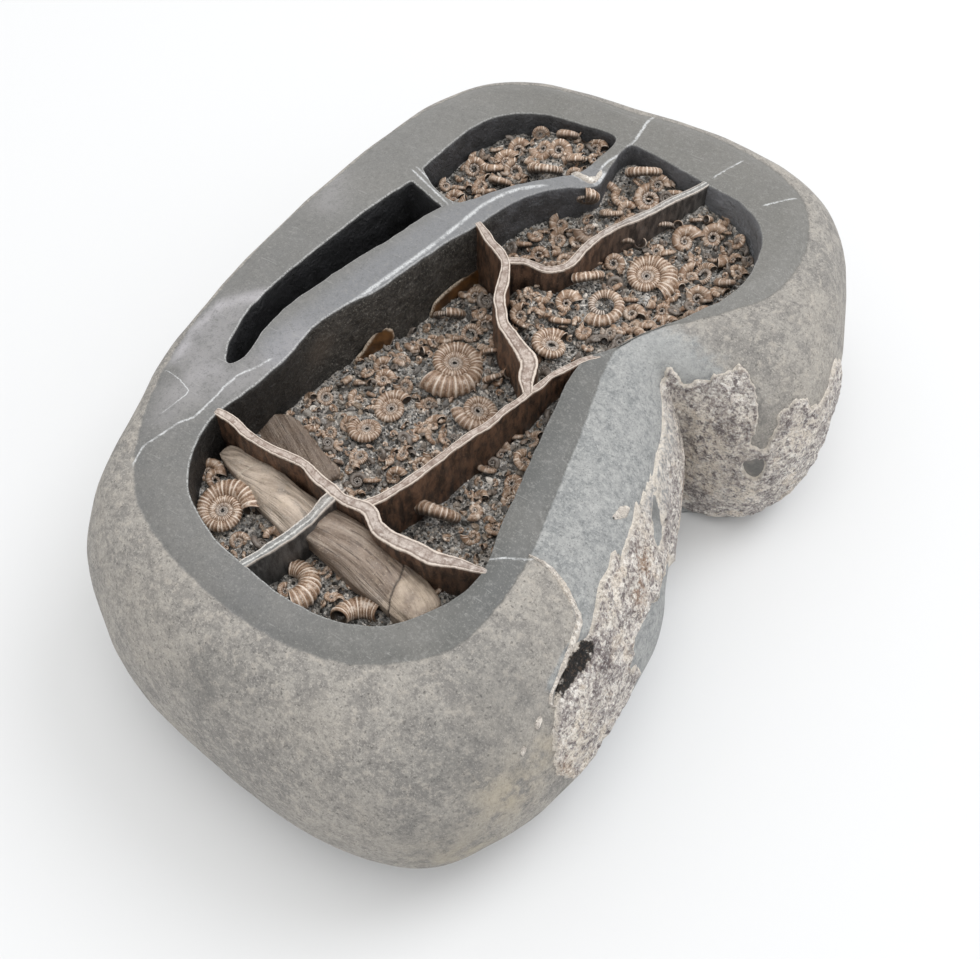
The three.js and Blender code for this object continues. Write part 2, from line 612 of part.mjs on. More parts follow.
const frontVeins = ribbon('septum_front', GAP).add(ribbon('septum_cross', GAP));
for (const [name, log] of [['fossil_wood_left', LOG_LEFT], ['fossil_wood_right', LOG_RIGHT]]) {
  addPart(name, toGeometry(logSolid(log, 0).subtract(frontVeins)), MATERIALS.wood);
}
addPart('wood_sheet', toGeometry(plateSolid(WOOD_SHEET, 0).subtract(frontVeins)), MATERIALS.wood);
for (const [name, place] of flakes) {
  addPart(name, toGeometry(plateSolid(place, 0)), MATERIALS.shell);
}

AMMONITES.forEach((entry, i) => {
  const geometry = ammoniteGeometry(shellRadius(entry[2]), entry[6]);
  geometry.applyMatrix4(ammonitePlace(entry));
  addPart(`ammonite_${String(i + 1).padStart(2, '0')}`, geometry, MATERIALS.ammonite);
});

slab.position.set(...MIDDLE, 0);
export default slab;
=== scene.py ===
"""The looks of an ammonite fossil slab: a limestone nodule, ground flat and opened from above.

Millimetres are used for every size and place below. make_piece() turns them into metres and
moves them from the point where the outlines are drawn to the middle of the slab.
"""
import math

import bmesh
import bpy
import numpy as np
from mathutils import Matrix, Vector, noise
from mathutils.bvhtree import BVHTree
from mathutils.geometry import delaunay_2d_cdt
from mathutils.kdtree import KDTree


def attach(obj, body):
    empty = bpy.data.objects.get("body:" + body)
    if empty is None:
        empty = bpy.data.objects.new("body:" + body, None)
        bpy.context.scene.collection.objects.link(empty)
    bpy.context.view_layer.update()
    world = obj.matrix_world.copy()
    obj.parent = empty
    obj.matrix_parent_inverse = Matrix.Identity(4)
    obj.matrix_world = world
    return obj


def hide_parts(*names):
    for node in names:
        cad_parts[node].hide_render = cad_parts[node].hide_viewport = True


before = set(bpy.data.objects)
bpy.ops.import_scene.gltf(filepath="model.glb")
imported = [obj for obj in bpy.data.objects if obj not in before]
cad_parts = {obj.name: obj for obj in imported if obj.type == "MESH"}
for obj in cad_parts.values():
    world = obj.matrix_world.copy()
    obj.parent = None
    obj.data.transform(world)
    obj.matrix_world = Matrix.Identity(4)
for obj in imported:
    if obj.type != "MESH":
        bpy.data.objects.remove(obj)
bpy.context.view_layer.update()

# ---------------------------------------------------------------- driving sizes
MIDDLE = np.array([-2.0, 0.5, 0.0])  # from the outlines' own middle to the slab's
TOP = 82.0  # height of the ground top
RIM_FALL = 2.0  # how far the top falls to its outer edge
RIM_FALL_WIDTH = 7.0
DIP = {"x": 30.0, "y": 22.0, "depth": 4.0, "spread": 20.0}  # where the rim narrows
BELLY = 34.0  # height at which the stone is widest
FOOT_END = 76.0  # degrees round the underside at which the stone meets the ground
COLUMNS = 10  # points between two stations of an outline
SHOULDER_RINGS = 26  # rings of points from the rim to the belly
FOOT_RINGS = 14  # and from there to the foot
GROUND_TOP = -9.0  # what counts as the distance below the rim on the ground top
UNDERSIDE = 50.0  # and on the underside

# The three outlines go round together, counterclockwise from the front left corner.
RIM_LINE = [
    [-68, -84], [-57, -96], [-41, -104], [-21, -109], [0, -111], [20, -107.5], [34, -99],
    [43, -88], [46, -74], [46, -57], [43, -38], [40, -20], [37, -4], [33.5, 12], [33, 25],
    [40, 36], [50, 45], [59, 54.5], [66, 64], [69, 77], [67.5, 93], [60, 108], [47, 117],
    [27, 122], [8, 122.5], [-9, 120], [-28, 119], [-46, 115.5], [-62, 105.5], [-71.5, 89],
    [-78, 66], [-82, 40], [-85, 12], [-85.5, -15], [-83.5, -41], [-77, -67],
]
BELLY_LINE = [
    [-80.5, -104], [-69.5, -116], [-51, -127], [-26.5, -134.5], [2, -138.5], [33, -139.5],
    [56.5, -131], [71.5, -112.5], [79.5, -91.5], [83, -62], [82, -38], [76, -18], [70, 0],
    [64, 16], [58, 28], [67, 27], [77, 27], [88, 31], [96.5, 43], [97.5, 63], [90, 90],
    [78.5, 118], [53.5, 134.5], [27.5, 137.5], [4, 136], [-14, 134], [-34, 132.5], [-54, 127],
    [-70.5, 114], [-81.5, 94], [-87, 67.5], [-91, 41], [-92.5, 12], [-93.5, -15], [-93.5, -44],
    [-88.5, -74.5],
]
FOOT_LINE = [
    [-69, -93], [-59, -103], [-43, -113], [-22, -119], [1, -121], [26, -120], [45, -112],
    [57, -98], [63, -80], [66, -58], [66, -37], [64, -17], [62, 1], [62, 15], [64, 26], [70, 30],
    [77, 32], [83, 37], [87, 47], [86, 65], [79, 88], [68, 110], [48, 124], [26, 127], [5, 126],
    [-12, 123], [-30, 121], [-48, 115], [-62, 104], [-72, 89], [-77, 66], [-80, 40], [-82, 12],
    [-83, -14], [-84, -40], [-80, -68],
]

# ---------------------------------------------------------------- the hollows
MAIN_HOLLOW = [
    [-56, -60], [-56, -67], [-53, -77], [-47, -86], [-38, -92], [-28, -96], [-18, -98], [-8, -100],
    [3, -100.5], [14, -99], [24, -94], [31, -86], [36, -77], [38, -67], [35, -52], [33, -38],
    [30.5, -22], [28.5, -8], [26.5, 4], [27, 14], [31, 22], [38, 34], [49, 47], [56, 59],
    [57.5, 73], [53, 88], [42, 96], [30, 98], [16, 101], [4, 103], [-2, 102.5], [-3, 88], [-3, 79],
    [-13, 72], [-20, 64], [-25, 54], [-28.5, 43], [-33, 32], [-38, 15], [-41, 4], [-46, -6],
    [-50, -18], [-50.5, -33], [-53, -49],
]
# A corner that is given twice stays sharp.
BACK_HOLLOW = [
    [-58, 57], [-58, 57], [-56.5, 68], [-54, 82], [-50, 91], [-44, 97], [-34, 102],
    [-22, 103.5], [-8, 103.5], [-8.5, 92], [-11, 82], [-20, 73], [-30, 62], [-36, 53],
    [-40, 49], [-49, 51],
]
SLOT = [
    [-58, 50], [-58, 50], [-43, 45], [-43, 45], [-46.5, 36], [-50, 24], [-55, 10], [-59, -4],
    [-62, -15], [-63, -29], [-62, -40], [-64.5, -44], [-68, -40], [-71.5, -27], [-71.5, -14],
    [-69, 3], [-66, 20], [-62, 38],
]
HOLLOW_FLOOR = 44.0  # the walls run down to here, under the bed
SLOT_FLOOR = 37.0
HOLLOWS = [[MAIN_HOLLOW, HOLLOW_FLOOR, 1.0], [BACK_HOLLOW, HOLLOW_FLOOR, 0.5],
           [SLOT, SLOT_FLOOR, 0.7]]  # outline, floor, how pitted the wall is
WALL_STEP = 1.2  # spacing of the points round and down a wall
GROUND_STEP = 1.5  # spacing of the points on the ground top
BEVEL = 0.55  # rounding of the ground edges
BEVEL_TURNS = (0, 0.3, 0.6, 1.0)  # steps round it, 1 being a quarter turn

# ---------------------------------------------------------------- the fossil bed
# Heights of the bed at places in the hollows: x, y, z.
BED_HEIGHTS = np.array([
    [-44, -78, 67.5], [-25, -84, 67], [0, -84, 69], [24, -82, 69], [-45, -50, 60], [-44, -20, 54],
    [-30, -40, 57], [-10, -50, 55], [-20, -10, 54], [-33, 15, 51], [0, -20, 55], [-15, 22, 56],
    [8, -8, 56], [16, -57, 61], [25, -42, 63], [24, -18, 65], [24, 0, 66], [10, 24, 68],
    [30, 45, 68], [42, 75, 67], [16, 55, 66], [-18, 48, 63], [-5, 62, 64], [8, 82, 69.5],
    [10, 98, 74.5], [-46, 62, 68], [-50, 80, 69], [-35, 80, 72], [-25, 98, 75], [-14, 90, 75],
    [-30, 70, 71], [0, 33, 73], [9, 40, 72.5], [13, 48, 71.5], [20, 72, 69], [22, 95, 73],
    [-50, -38, 59], [-28, 38, 55],
])
BED_WAVE = {"height": 0.8, "length": 23.0, "phase": 1.0}
BED_STEP = 0.62
BED_EDGE_STEP = 1.5
BED_REACH = 0.9  # how far a bed runs into the walls round it
BED_UNDERSIDE = 44.5
BED_GRAIN = 0.62  # width of a grain of sand
SAND = {"x": -42, "y": -30, "squeeze": 0.7, "reach": 14}  # a sandy spot in the main bed

# ---------------------------------------------------------------- the calcite veins
# half: what small shells keep clear of; low: how far the top lies under the ground top;
# floor: height of the foot; grey and halves: how grey and how wide it is from end to end.
VEINS = {
    "septum_front": {
        "half": 1.6, "low": 0.0, "floor": 51.0,
        "grey": [0.1, 0.0, 0.0, 0.1, 0.15, 0.1, 0.2],
        "halves": [1.2, 1.3, 1.35, 1.3, 1.35, 1.7, 1.7, 1.9, 2.3, 2.4, 2.2, 1.4, 0.7],
        "line": [[-61, -60], [-52, -60.5], [-44, -62.5], [-33, -63.5], [-24, -63], [-15, -65.5],
                 [-8, -67], [1, -67], [6, -70], [14, -71], [23, -70.5], [31, -69], [42, -66]],
    },
    "septum_long": {
        "half": 1.3, "low": 0.1, "floor": 51.0, "grey": [0.0, 0.0],
        "halves": [1.4, 1.3, 1.25, 1.1, 1.1, 1.05, 1.0, 1.0, 0.9, 0.8],
        "line": [[-1, -66], [2.5, -60], [5.5, -52], [9.5, -40], [13.5, -28], [17, -16],
                 [19.5, -6], [22, 3], [26, 12], [30, 18]],
    },
    "septum_cross": {
        "half": 1.7, "low": 0.16, "floor": 62.0,
        "grey": [0.6, 0.9, 0.95, 1.0],
        "halves": [1.8, 1.8, 1.6, 1.5, 1.3],
        "line": [[-10.5, -64], [-11, -69], [-11.5, -74], [-13, -82], [-16, -90], [-20, -100]],
    },
    "septum_fork": {
        "half": 2.1, "low": 0.05, "floor": 50.0, "grey": [0.1, 0.0, 0.0],
        "halves": [1.3, 1.4, 1.5, 1.8, 1.9, 1.9, 1.9, 2.0, 2.2, 2.6, 2.3, 1.6],
        "line": [[-32, 46], [-22, 40], [-13, 34.5], [-10, 29], [-8, 23], [-5, 17.5],
                 [-1, 12.5], [4, 9], [9, 6], [13, 3], [16, -3], [19, -8]],
    },
    "septum_back": {
        "half": 1.4, "low": 0.14, "floor": 60.0,
        "grey": [0.1, 0.1, 0.2, 0.6, 0.85, 1.0],
        "halves": [1.4, 1.3, 1.3, 1.35, 1.3, 1.2, 1.2, 1.2, 1.1, 0.9],
        "line": [[-13, 34.5], [-7, 37.5], [1, 38.5], [5, 43], [6.5, 52], [9, 61], [15, 72],
                 [22.5, 86], [28.5, 98], [32, 106]],
    },
}
VEIN_STEP = 0.7
VEIN_PROUD = 0.2  # a vein is harder than the stone and stands a hair above the ground top
VEIN_TOP = [(-0.97, 0.08), (-0.85, 0), (-0.6, 0), (-0.3, 0), (0, 0),
            (0.3, 0), (0.6, 0), (0.85, 0), (0.97, 0.08)]  # across in half widths, and down

# ---------------------------------------------------------------- ammonites
# Those that stand out: x, y, width, facing, tilt, tilt azimuth, whorls, and for some the growth.
LARGE_SHELLS = [
    [-15.5, 3.5, 21.5, 250, 4, 0, 4.3], [-23.5, -18.5, 13, 60, 8, 250, 3.6],
    [-26.5, -30.5, 12, 160, 8, 120, 3.6], [0, -7.5, 15.5, 215, 12, 20, 3.8],
    [-29, 23.5, 13, 300, 58, 120, 1.2], [-17, 20, 7.5, 30, 36, 300, 1.3],
    [-22, -40.5, 7, 140, 14, 200, 2.5], [-45.5, -24.5, 7, 90, 16, 320, 2],
    [27, 60.5, 17, 330, 14, 270, 4.2], [19.5, 40, 15, 250, 10, 250, 1.15],
    [42, 73, 9, 45, 36, 220, 1.4], [9.5, 47.5, 13, 260, 50, 130, 1.2],
    [13, 20, 14, 75, 12, 60, 2.8], [22, 83, 12, 10, 54, 120, 1.4],
    [6, 97.5, 13, 220, 48, 120, 1.3], [3.5, 80.5, 9.5, 120, 40, 120, 1.3],
    [-39.5, -81.5, 18.5, 30, 6, 300, 4.2], [15.0, -91.3, 20, 66, 30, 120, 0.34, 2.6],
    [-9.8, -93.9, 20, 318, 16, 120, 0.42, 2.5], [11, -49, 15.5, 205, 62, 100, 1.1, 2.1],
    [-35, 99.5, 6.5, 20, 80, 300, 2.6], [-23, 84.5, 16, 60, 46, 110, 1.5],
]
# Smaller ones in the bed: x, y, width, facing, tilt, tilt azimuth, whorls.
MIDDLE_SHELLS = [
    [-3.5, 13, 9.5, 40, 60, 120, 1], [2, 5, 12, 20, 58, 140, 1.1],
    [-16, -11, 6.5, 200, 40, 300, 1.4], [-9, -17, 7, 60, 20, 200, 1.8],
    [-12, -25, 5.5, 100, 20, 90, 1.9], [-32, -10, 6.5, 30, 30, 300, 1.6],
    [-26.5, -8.5, 6, 200, 50, 300, 1.2], [-30.5, 7.5, 7.5, 330, 50, 130, 1.2],
    [-33, 0, 6.5, 250, 30, 60, 1.6], [-35, -6, 6.5, 80, 45, 300, 1.3],
    [-36.5, -20.5, 6, 140, 30, 20, 1.6], [-37.5, -14.5, 7, 20, 55, 120, 1.1],
    [-10.5, -32.5, 5.5, 60, 30, 200, 1.5], [-3, -28, 6, 190, 40, 310, 1.3],
    [-15, -37.5, 6, 310, 30, 100, 1.6], [-8.5, -40, 6, 50, 50, 300, 1.2],
    [-14.5, -45, 5.5, 150, 50, 120, 1], [-21.5, -45.5, 5, 20, 30, 200, 1.4],
    [-3, -20.5, 5, 120, 40, 60, 1.4], [-19, -4, 5, 0, 30, 200, 1.4], [-15, 26, 6, 60, 40, 300, 1.3],
    [-19, 28.5, 6, 150, 30, 200, 1.4], [-22, 17.5, 5.5, 220, 30, 120, 1.4],
    [-31.5, -32, 5.5, 60, 25, 250, 1.8], [-30, -39.5, 4.5, 160, 30, 60, 1.6],
    [10.5, -34, 5, 70, 36, 300, 1.2], [16, -27.5, 6, 180, 40, 100, 1.3],
    [16.5, -20, 6.5, 30, 50, 300, 1.2], [25.5, -29.5, 7, 260, 20, 240, 1.9],
    [25.5, -21, 7, 120, 30, 30, 1.7], [20, -38.5, 6, 20, 40, 200, 1.3],
    [23.5, -50, 5.5, 200, 40, 300, 1.3], [29.5, -45, 6, 80, 30, 100, 1.5],
    [18, -13, 6, 140, 50, 120, 1.1], [24.5, -12.5, 6, 60, 30, 200, 1.5],
    [-3, -50, 5, 200, 30, 300, 1.4], [14, 70.5, 13, 30, 62, 120, 0.9],
    [38, 71, 9, 100, 24, 290, 1.7], [38.5, 88, 8.5, 60, 40, 300, 1.4],
    [31.5, 82, 11.5, 45, 30, 300, 1.6], [12, 90.5, 10.5, 120, 26, 300, 1.1],
    [42.5, 80.5, 8.5, 300, 30, 120, 1.5], [45, 62, 8, 20, 36, 300, 1.4],
    [49.5, 72.5, 7.5, 150, 46, 120, 1.1], [37, 59.5, 7.5, 60, 30, 200, 1.6],
    [36, 50.5, 6.5, 250, 40, 300, 1.3], [26.5, 49.5, 6.5, 90, 50, 120, 1.1],
    [10.5, 35.5, 8, 40, 36, 290, 1.3], [10, 30, 7, 200, 46, 110, 1.1],
    [19, 30.5, 6.5, 120, 30, 200, 1.5], [14, 61, 7, 330, 40, 300, 1.3],
    [9, 60.5, 6, 60, 30, 100, 1.4], [21, 66, 6, 200, 40, 300, 1.2],
    [28, 73.5, 7.5, 100, 50, 130, 1.2], [31.5, 90.5, 8, 330, 50, 120, 1.2],
    [22, 90, 6.5, 60, 40, 300, 1.3], [-11, 55.5, 6, 20, 40, 300, 1.3],
    [-18, 57, 6.5, 140, 50, 120, 1], [-8.5, 65.5, 7.5, 70, 30, 250, 1.6],
    [-2, 71, 9, 200, 40, 300, 1.4], [8.5, 76.5, 7.5, 320, 30, 200, 1.5],
    [7.5, 84.5, 6.5, 60, 50, 300, 1.2], [13, 97, 7, 20, 40, 300, 1.2],
    [19.5, 96.5, 7, 120, 50, 120, 1], [7, 94, 5.5, 40, 40, 60, 1.2],
    [-11.5, 70.5, 7, 140, 40, 300, 1.3], [-14, 65, 5.5, 20, 40, 120, 1.2],
    [-22.5, 101.5, 13.5, 30, 50, 110, 1], [-38.5, 90.5, 7.5, 60, 40, 300, 1.4],
    [-31.5, 92.5, 8, 200, 40, 260, 1.4], [-24, 92.5, 8.5, 320, 40, 300, 1.4],
    [-16.5, 93.5, 8.5, 90, 40, 120, 1.2], [-14, 102, 7.5, 20, 30, 240, 1.5],
    [-13.5, 107, 6, 140, 50, 120, 1], [-39.5, 83.5, 8, 60, 30, 300, 1.8],
    [-43, 78.5, 7.5, 200, 40, 120, 1.4], [-48, 74.5, 9.5, 320, 50, 300, 1.3],
    [-42, 70.5, 8, 80, 30, 200, 1.6], [-48.5, 66.5, 7, 30, 50, 120, 1.2],
    [-48, 61.5, 6.5, 60, 30, 300, 1.4], [-35, 80.5, 7, 120, 50, 300, 1.1],
    [-32, 86.5, 6.5, 250, 30, 60, 1.5], [-37, 73.5, 8, 180, 50, 100, 1.1],
    [-14.5, 86, 5, 60, 60, 300, 1.2], [-50, -74, 6, 130, 50, 30, 1.2],
    [-52.3, -72.9, 9.5, 20, 20, 300, 1.8], [-31.5, -87, 5.5, 40, 20, 320, 1.7],
    [3.5, -90, 5.5, 10, 30, 90, 1.4],
    [-20, -88.5, 4.5, 300, 40, 240, 1.4], [-10.5, -94, 4.5, 120, 40, 30, 1.2],
    [-2.5, -83.5, 4.5, 60, 30, 200, 1.3], [1, -54.5, 5.5, 100, 40, 300, 1.2],
]
TIP_SHELL = [-5.3, 75.6, 10.5, 300, 62, 120, 1.3]  # the one under the ridge's tip
TIP_SHELL_HEIGHT = 78.4
SHELL_GROWTH = 1.85  # each whorl is this much wider than the one inside it
SHELL_RISE = 0.11  # height of a shell's middle over the bed, against its width
TIPPED_RISE = 0.1  # and this much more when it stands on edge
BIG_SHELL = 16.0  # from this width on a shell has more ribs
MIDDLE_SCALE = 1.15  # shells of the middle sizes are made this much wider
MIDDLE_SCALED = 9.0  # if they are narrower than this
MIDDLE_GROWTHS = [2.1, 2.6, 2.3, 2.9]  # taken in turn

# What is strewn. A curl: width, whorls, ribs, sides, steps per rib, rib strength, growth.
# A chip: width and seed, and for some sides, length and flatness.
STREWN_KINDS = {
    "shells": [["curl", 6.0, 2.4, 18, 8, 1.6, 0.16, 2.2], ["curl", 5.6, 2.0, 16, 8, 1.6, 0.13, 2.7],
               ["curl", 6.6, 1.8, 18, 8, 1.8, 0.16, 2.5], ["curl", 5.4, 2.0, 6, 8, 3, 0.0, 3.2],
               ["curl", 7.0, 0.45, 20, 9, 2.5, 0.16, 2.8],
               ["curl", 5.8, 2.4, 18, 7, 1.6, 0.14, 2.1], ["curl", 5.2, 1.6, 6, 8, 3, 0.0, 2.9],
               ["curl", 6.6, 0.6, 18, 9, 2.5, 0.16, 3.0]],
    "curls": [["curl", 3.8, 1.7, 4, 6, 3, 0.0, 3.0], ["curl", 3.4, 1.5, 4, 6, 3, 0.0, 3.4],
              ["curl", 4.4, 0.4, 14, 6, 1.6, 0.15, 3.0], ["curl", 3.0, 1.5, 4, 6, 2.5, 0.0, 2.6]],
    "bits": [["curl", 3.4, 0.3, 4, 5, 3, 0.0, 2.8], ["chip", 2.3, 2.9, 6, 1.2, 0.3],
             ["chip", 2.0, 5.2, 7, 1.7, 0.2], ["curl", 2.6, 0.5, 4, 5, 2, 0.0, 3.0]],
    "grit": [["chip", 1.0, 0.3], ["chip", 1.0, 1.9], ["chip", 1.0, 4.4], ["chip", 1.0, 6.1]],
}
# How each kind is strewn over a bed, with its spacing and its lift off the bed.
STREWN = {
    "shells": {"Spacing": 4.3, "Smallest": 0.75, "Largest": 1.3, "Tip": 0.8, "Lift": 1.8},
    "curls": {"Spacing": 4.2, "Smallest": 0.7, "Largest": 1.3, "Tip": 1.0, "Lift": 1.0},
    "bits": {"Spacing": 3.0, "Smallest": 0.5, "Largest": 1.25, "Tip": 1.2, "Lift": 0.3},
    "grit": {"Spacing": 1.08, "Smallest": 0.45, "Largest": 1.35, "Tip": 1.2, "Lift": 0.1},
}
LENGTHS = ("Spacing", "Lift")  # the inputs that are lengths
WALL_ROOM = 1.6  # what small shells keep clear of a hollow's wall

# ---------------------------------------------------------------- wood, flakes, crust
# sections: x, y, z, half width and half height; crack: its place along the log and its slant;
# dull: how much duller the log is than fresh wood.
LOGS = {
    "fossil_wood_left": {
        "sections": [[-52.5, -65, 69.6, 2.6, 2.4], [-47, -66.2, 69.8, 3.9, 3.7],
                     [-40, -68, 69.8, 4.6, 4.5], [-33, -69.6, 69.8, 5.6, 5.3],
                     [-25, -72, 69.8, 6.6, 5.7], [-18, -74, 69.6, 7.0, 5.6],
                     [-12.6, -75.4, 69.4, 6.9, 5.4]],
        "crack": [0.3, 0.3], "dull": 0.0,
    },
    "fossil_wood_right": {
        "sections": [[-13.5, -74.2, 73.6, 6.2, 5.6], [-8, -74.9, 73.7, 6.9, 5.8],
                     [2, -76.4, 72.6, 7.6, 6.0], [10, -78, 71.6, 7.7, 5.9],
                     [18, -79.8, 70.6, 7.3, 5.5], [25, -81.3, 69.9, 6.8, 5.0],
                     [30, -82.2, 69.4, 5.8, 4.4]],
        "crack": [0.72, -0.5], "dull": 0.7,
    },
}
LOG_SIDES = 84  # points round a log
LOG_STEP = 0.45  # and their spacing along it
LOG_SQUARE = 0.66  # 1 for a round log, less for a squared one
LOG_ROOM = 6.0  # what small shells keep clear of on either side
# Plates: their middle, the degrees they are turned and leaned by, how far they bow, and their
# edge before that.
WOOD_SHEET = {"thick": 2.4, "x": -44, "y": -50, "z": 61, "turn": -30, "lean": 16, "bow": 0.2,
              "edge": [[-13, -8], [-14.5, -2.5], [-11, 3], [-6.7, 7], [2.4, 8.8], [10, 9.4],
                       [20, 10.4], [20, 3], [10, -4], [0, -8]]}
PLATE_STEP = 0.5
SHEET_SPOTS = [[-52, -47, 6], [-45, -49, 8], [-37, -52, 8], [-30, -55, 7]]  # x, y, radius on it
FLAKE = {"thick": 1.2, "z": 58, "lean": 80, "bow": 0.3}  # what both flakes share
FLAKES = {
    "shell_flake_left": {"x": -42.2, "y": -1, "turn": 65,
                         "edge": [[-8.7, -3.7], [-7.3, -1.0], [-5.1, 0.4], [-1.1, 3.3],
                                  [3.3, 5.5], [7.1, 3.3], [7.8, 0.7], [4.8, -4.7],
                                  [1.9, -9.4], [-4.2, -8.4]]},
    "shell_flake_right": {"x": -30.8, "y": 35, "turn": 71.5,
                          "edge": [[-13.7, -4.4], [-11.5, 0.4], [-7.2, 2.0], [0.6, 3.1],
                                   [8.0, 4.1], [10.5, 5.2], [11.2, 0.8], [9.9, -7.3],
                                   [4.6, -11.2], [-5.9, -7.9]]},
}
CRUST_FACING = -60.0  # degrees from +X
# The crust's edge as seen from the side that it faces: across to the right, then z.
CRUST_EDGE = [
    [57, 71], [63, 67], [69, 70], [80, 73], [84, 67], [85.5, 56], [84.5, 51], [89, 50], [92, 61],
    [98, 64], [105, 58], [108, 57], [113, 62], [117, 53], [117, 40], [112, 28], [103, 14], [92, 8],
    [80, 5], [70, 3], [64, 8], [60, 20], [56, 42], [52, 52], [49, 54], [43, 56], [41, 50],
    [45, 42], [41, 39], [33, 36], [26, 35], [20, 44], [18, 62], [20, 69], [28, 70], [33, 73],
    [41, 71], [48, 68], [54, 65],
]
CRUST_HOLES = [
    [[84, 43], [87, 45.5], [89.5, 44.5], [89.8, 39], [88.5, 36], [86.5, 36.5], [84.5, 39]],
    [[48.2, 65.6], [49.8, 64.6], [51.2, 61.5], [52.4, 56.5], [51, 58], [49.2, 62]],
]
CRUST_LOOK_FROM = 200.0  # distance from which the edge is laid on the stone
FIBRES = [[56, 12], [58, -2], [63, -8], [64, -16]]  # where the crust is fibrous
# Strips and crumbs of crust by themselves: half width, and the path's x, y, z.
RIBBONS = [
    [1.1, [[46, -56, 80], [51, -56, 79], [55, -57, 78], [61, -60, 75], [65, -63, 72],
           [66, -67, 71], [66.6, -72, 70], [67, -76, 69], [67.8, -80.5, 68], [68.6, -84.5, 67],
           [69.8, -85.8, 65.5], [70.8, -85.0, 65]]],
    [1.9, [[59, -31, 74], [60, -28, 73], [61, -24, 72]]],
    [1.0, [[69, -90, 66], [69, -93, 64]]],
    [0.8, [[68, -98, 62.5], [68, -100, 61]]],
    [1.5, [[-14, 81, 82], [-9, 80.3, 82], [-6, 80.2, 82], [-4.5, 82, 82], [-4.6, 86, 82]]],
]
# Spots on the crust: x, y, z, spread.
CRUST_DARK = [[74.4, 29.1, 55.4, 5], [61.3, 28, 41.9, 3], [69, 27.4, 18, 4], [56, 28, 66, 3],
              [84, 38, 60, 4], [75, -66, 62, 6], [80, -58, 48, 5]]
# pale spots on the crust; the first two, broad ones in the bay of the waist, are painted light
CRUST_PALE_AND_LIT = [[66.9, 27.9, 48, 14], [66, 27, 34, 14], [60, 20, 60, 8], [75, -82, 54, 7],
              [92.1, 41.7, 52.5, 9], [83.3, 39.7, 65, 4], [81.9, 28.4, 26.7, 9],
              [68.5, -52.8, 70, 7], [78.8, -87.1, 47.5, 8], [66, -25, 68, 6]]
CRUST_BROWN = [[71.5, -34.5, 64.8, 4], [73.5, -42, 63, 4], [66, 12, 40, 5], [78, -96, 46, 5]]
# Spots on the natural stone, of painted shade, of painted light in the concave waist, and sandy: x,
# y, z, spread, strength.
SHADED = [[84.9, 29.7, 39.6, 7, 1.0], [66.3, -15.6, 63.5, 5, 0.8], [55.7, 31, 72.5, 4, 0.1],
          [79.5, 32.6, 60.2, 5, 0.4], [58.8, -94.4, 74.1, 15, 0.4], [57.1, -128.4, 47.6, 18, 0.3],
          [59, -110, 68, 13, 0.35], [70, -103, 58, 4, 0.4], [-14.2, -127.7, 69.4, 8, 0.4]]
LIT_SPOTS = [[54, 29.5, 74, 9, 0.5], [44.5, 31.2, 74.9, 9, 0.5]]
SANDY = [[68, -108, 52, 10, 1.0], [62, -122, 34, 12, 0.8], [71, -96, 56, 6, 0.8]]
CRUST_STEP = 0.8
CRUST_THICK = 1.8
CRUST_SINK = 0.4  # its edge dips this far into the stone
RIBBON_LIFT = 0.7
RIBBON_PARTS = [-1.0, -0.75, -0.4, 0.0, 0.4, 0.75, 1.0]  # points across a strip

# ---------------------------------------------------------------- lines on the ground top
# White calcite lines that cross the rim, each with its half width.
RIM_VEINS = {
    "line_left": (0.35, [[-67, -87], [-68, -81], [-66, -77], [-63.5, -69], [-61, -65.5],
                         [-60, -57], [-60, -52], [-59, -46], [-56, -41], [-54, -36]]),
    "line_ridge": (0.75, [[-48, -14], [-44, 0], [-40, 15], [-38, 22], [-35.5, 32], [-33.5, 42],
                          [-31.5, 52], [-28, 60], [-24.5, 65], [-18, 70.5]]),
    "line_corner": (0.14, [[-80, -55], [-73, -56.5], [-68, -58.5], [-68, -60], [-69, -64.5],
                           [-70, -69]]),
    "line_back": (0.5, [[-2, 122], [-2, 117], [-1.5, 106.5], [-2.5, 98], [-5, 91], [-5.5, 86]]),
    "line_front": (0.3, [[33, -67], [41, -61], [44, -59], [48, -56]]),
    "line_far": (0.3, [[29.5, 102], [32, 108.5], [35, 115]]),
    "line_right": (0.3, [[49, 98], [54, 103.5], [57.5, 108]]),
    "line_wall": (0.35, [[-60.5, 54.5], [-51, 50.5], [-41.5, 46.5]]),
    "line_wall_back": (0.3, [[-60, 56.5], [-50, 52], [-40.5, 48]]),
    "line_tip": (1.3, [[-19, 82], [-12, 80.5], [-8, 80], [-3.5, 80.5], [-3, 86]]),
}
WEATHERED_LINE = [[40, -52], [47, -56], [55, -57], [61, -60], [65, -63], [66, -67], [66, -74],
                  [67, -90]]  # on this line's left the waist is smoother and bluer
FRECKLED_LINE = [[38, 37], [50, 39], [64, 36], [80, 24]]  # beyond it the stone is freckled again
# A hollow beside the crust, dented into the stone and painted near black as its shade: x, y, z,
# spread and depth of its parts.
DENTS = [[70.2, -67.6, 67.4, 3.1, 2.0], [70.2, -72.6, 67.2, 3.0, 3.0], [69.8, -78.0, 67.0, 2.3, 2.2],
         [69.6, -82.0, 66.7, 1.9, 1.5]]
NARROW = [[29, 15], [30, -4], [31, -20], [34, -34], [43, -64], [45, -71]]  # painted shade on the rim where it narrows and dips
NARROW_SPREAD = 12.0
# along this line the ground top gets a painted bluish reflection
RIDGE_LINE = [[-52, -30], [-48, -14], [-42, 12], [-34, 40], [-24, 62], [-8, 80]]
TAUPE = [-46, -20, 70, 7]  # a brown grey patch on the ridge's wall
# A flat spot ground beside the slot, shown by painted sheen, with a painted highlight band along its
# upper edge.
FACET = [[-71.6, -17.2], [-76.3, -22.1], [-81.5, -28.3], [-82, -40], [-78, -52], [-70, -56],
         [-63, -47.3], [-68.5, -38.9], [-70.4, -31.5]]
HIGHLIGHT_BAND = [[-71, -15.5], [-76, -21], [-81, -26], [-82.5, -38], [-80, -50]]
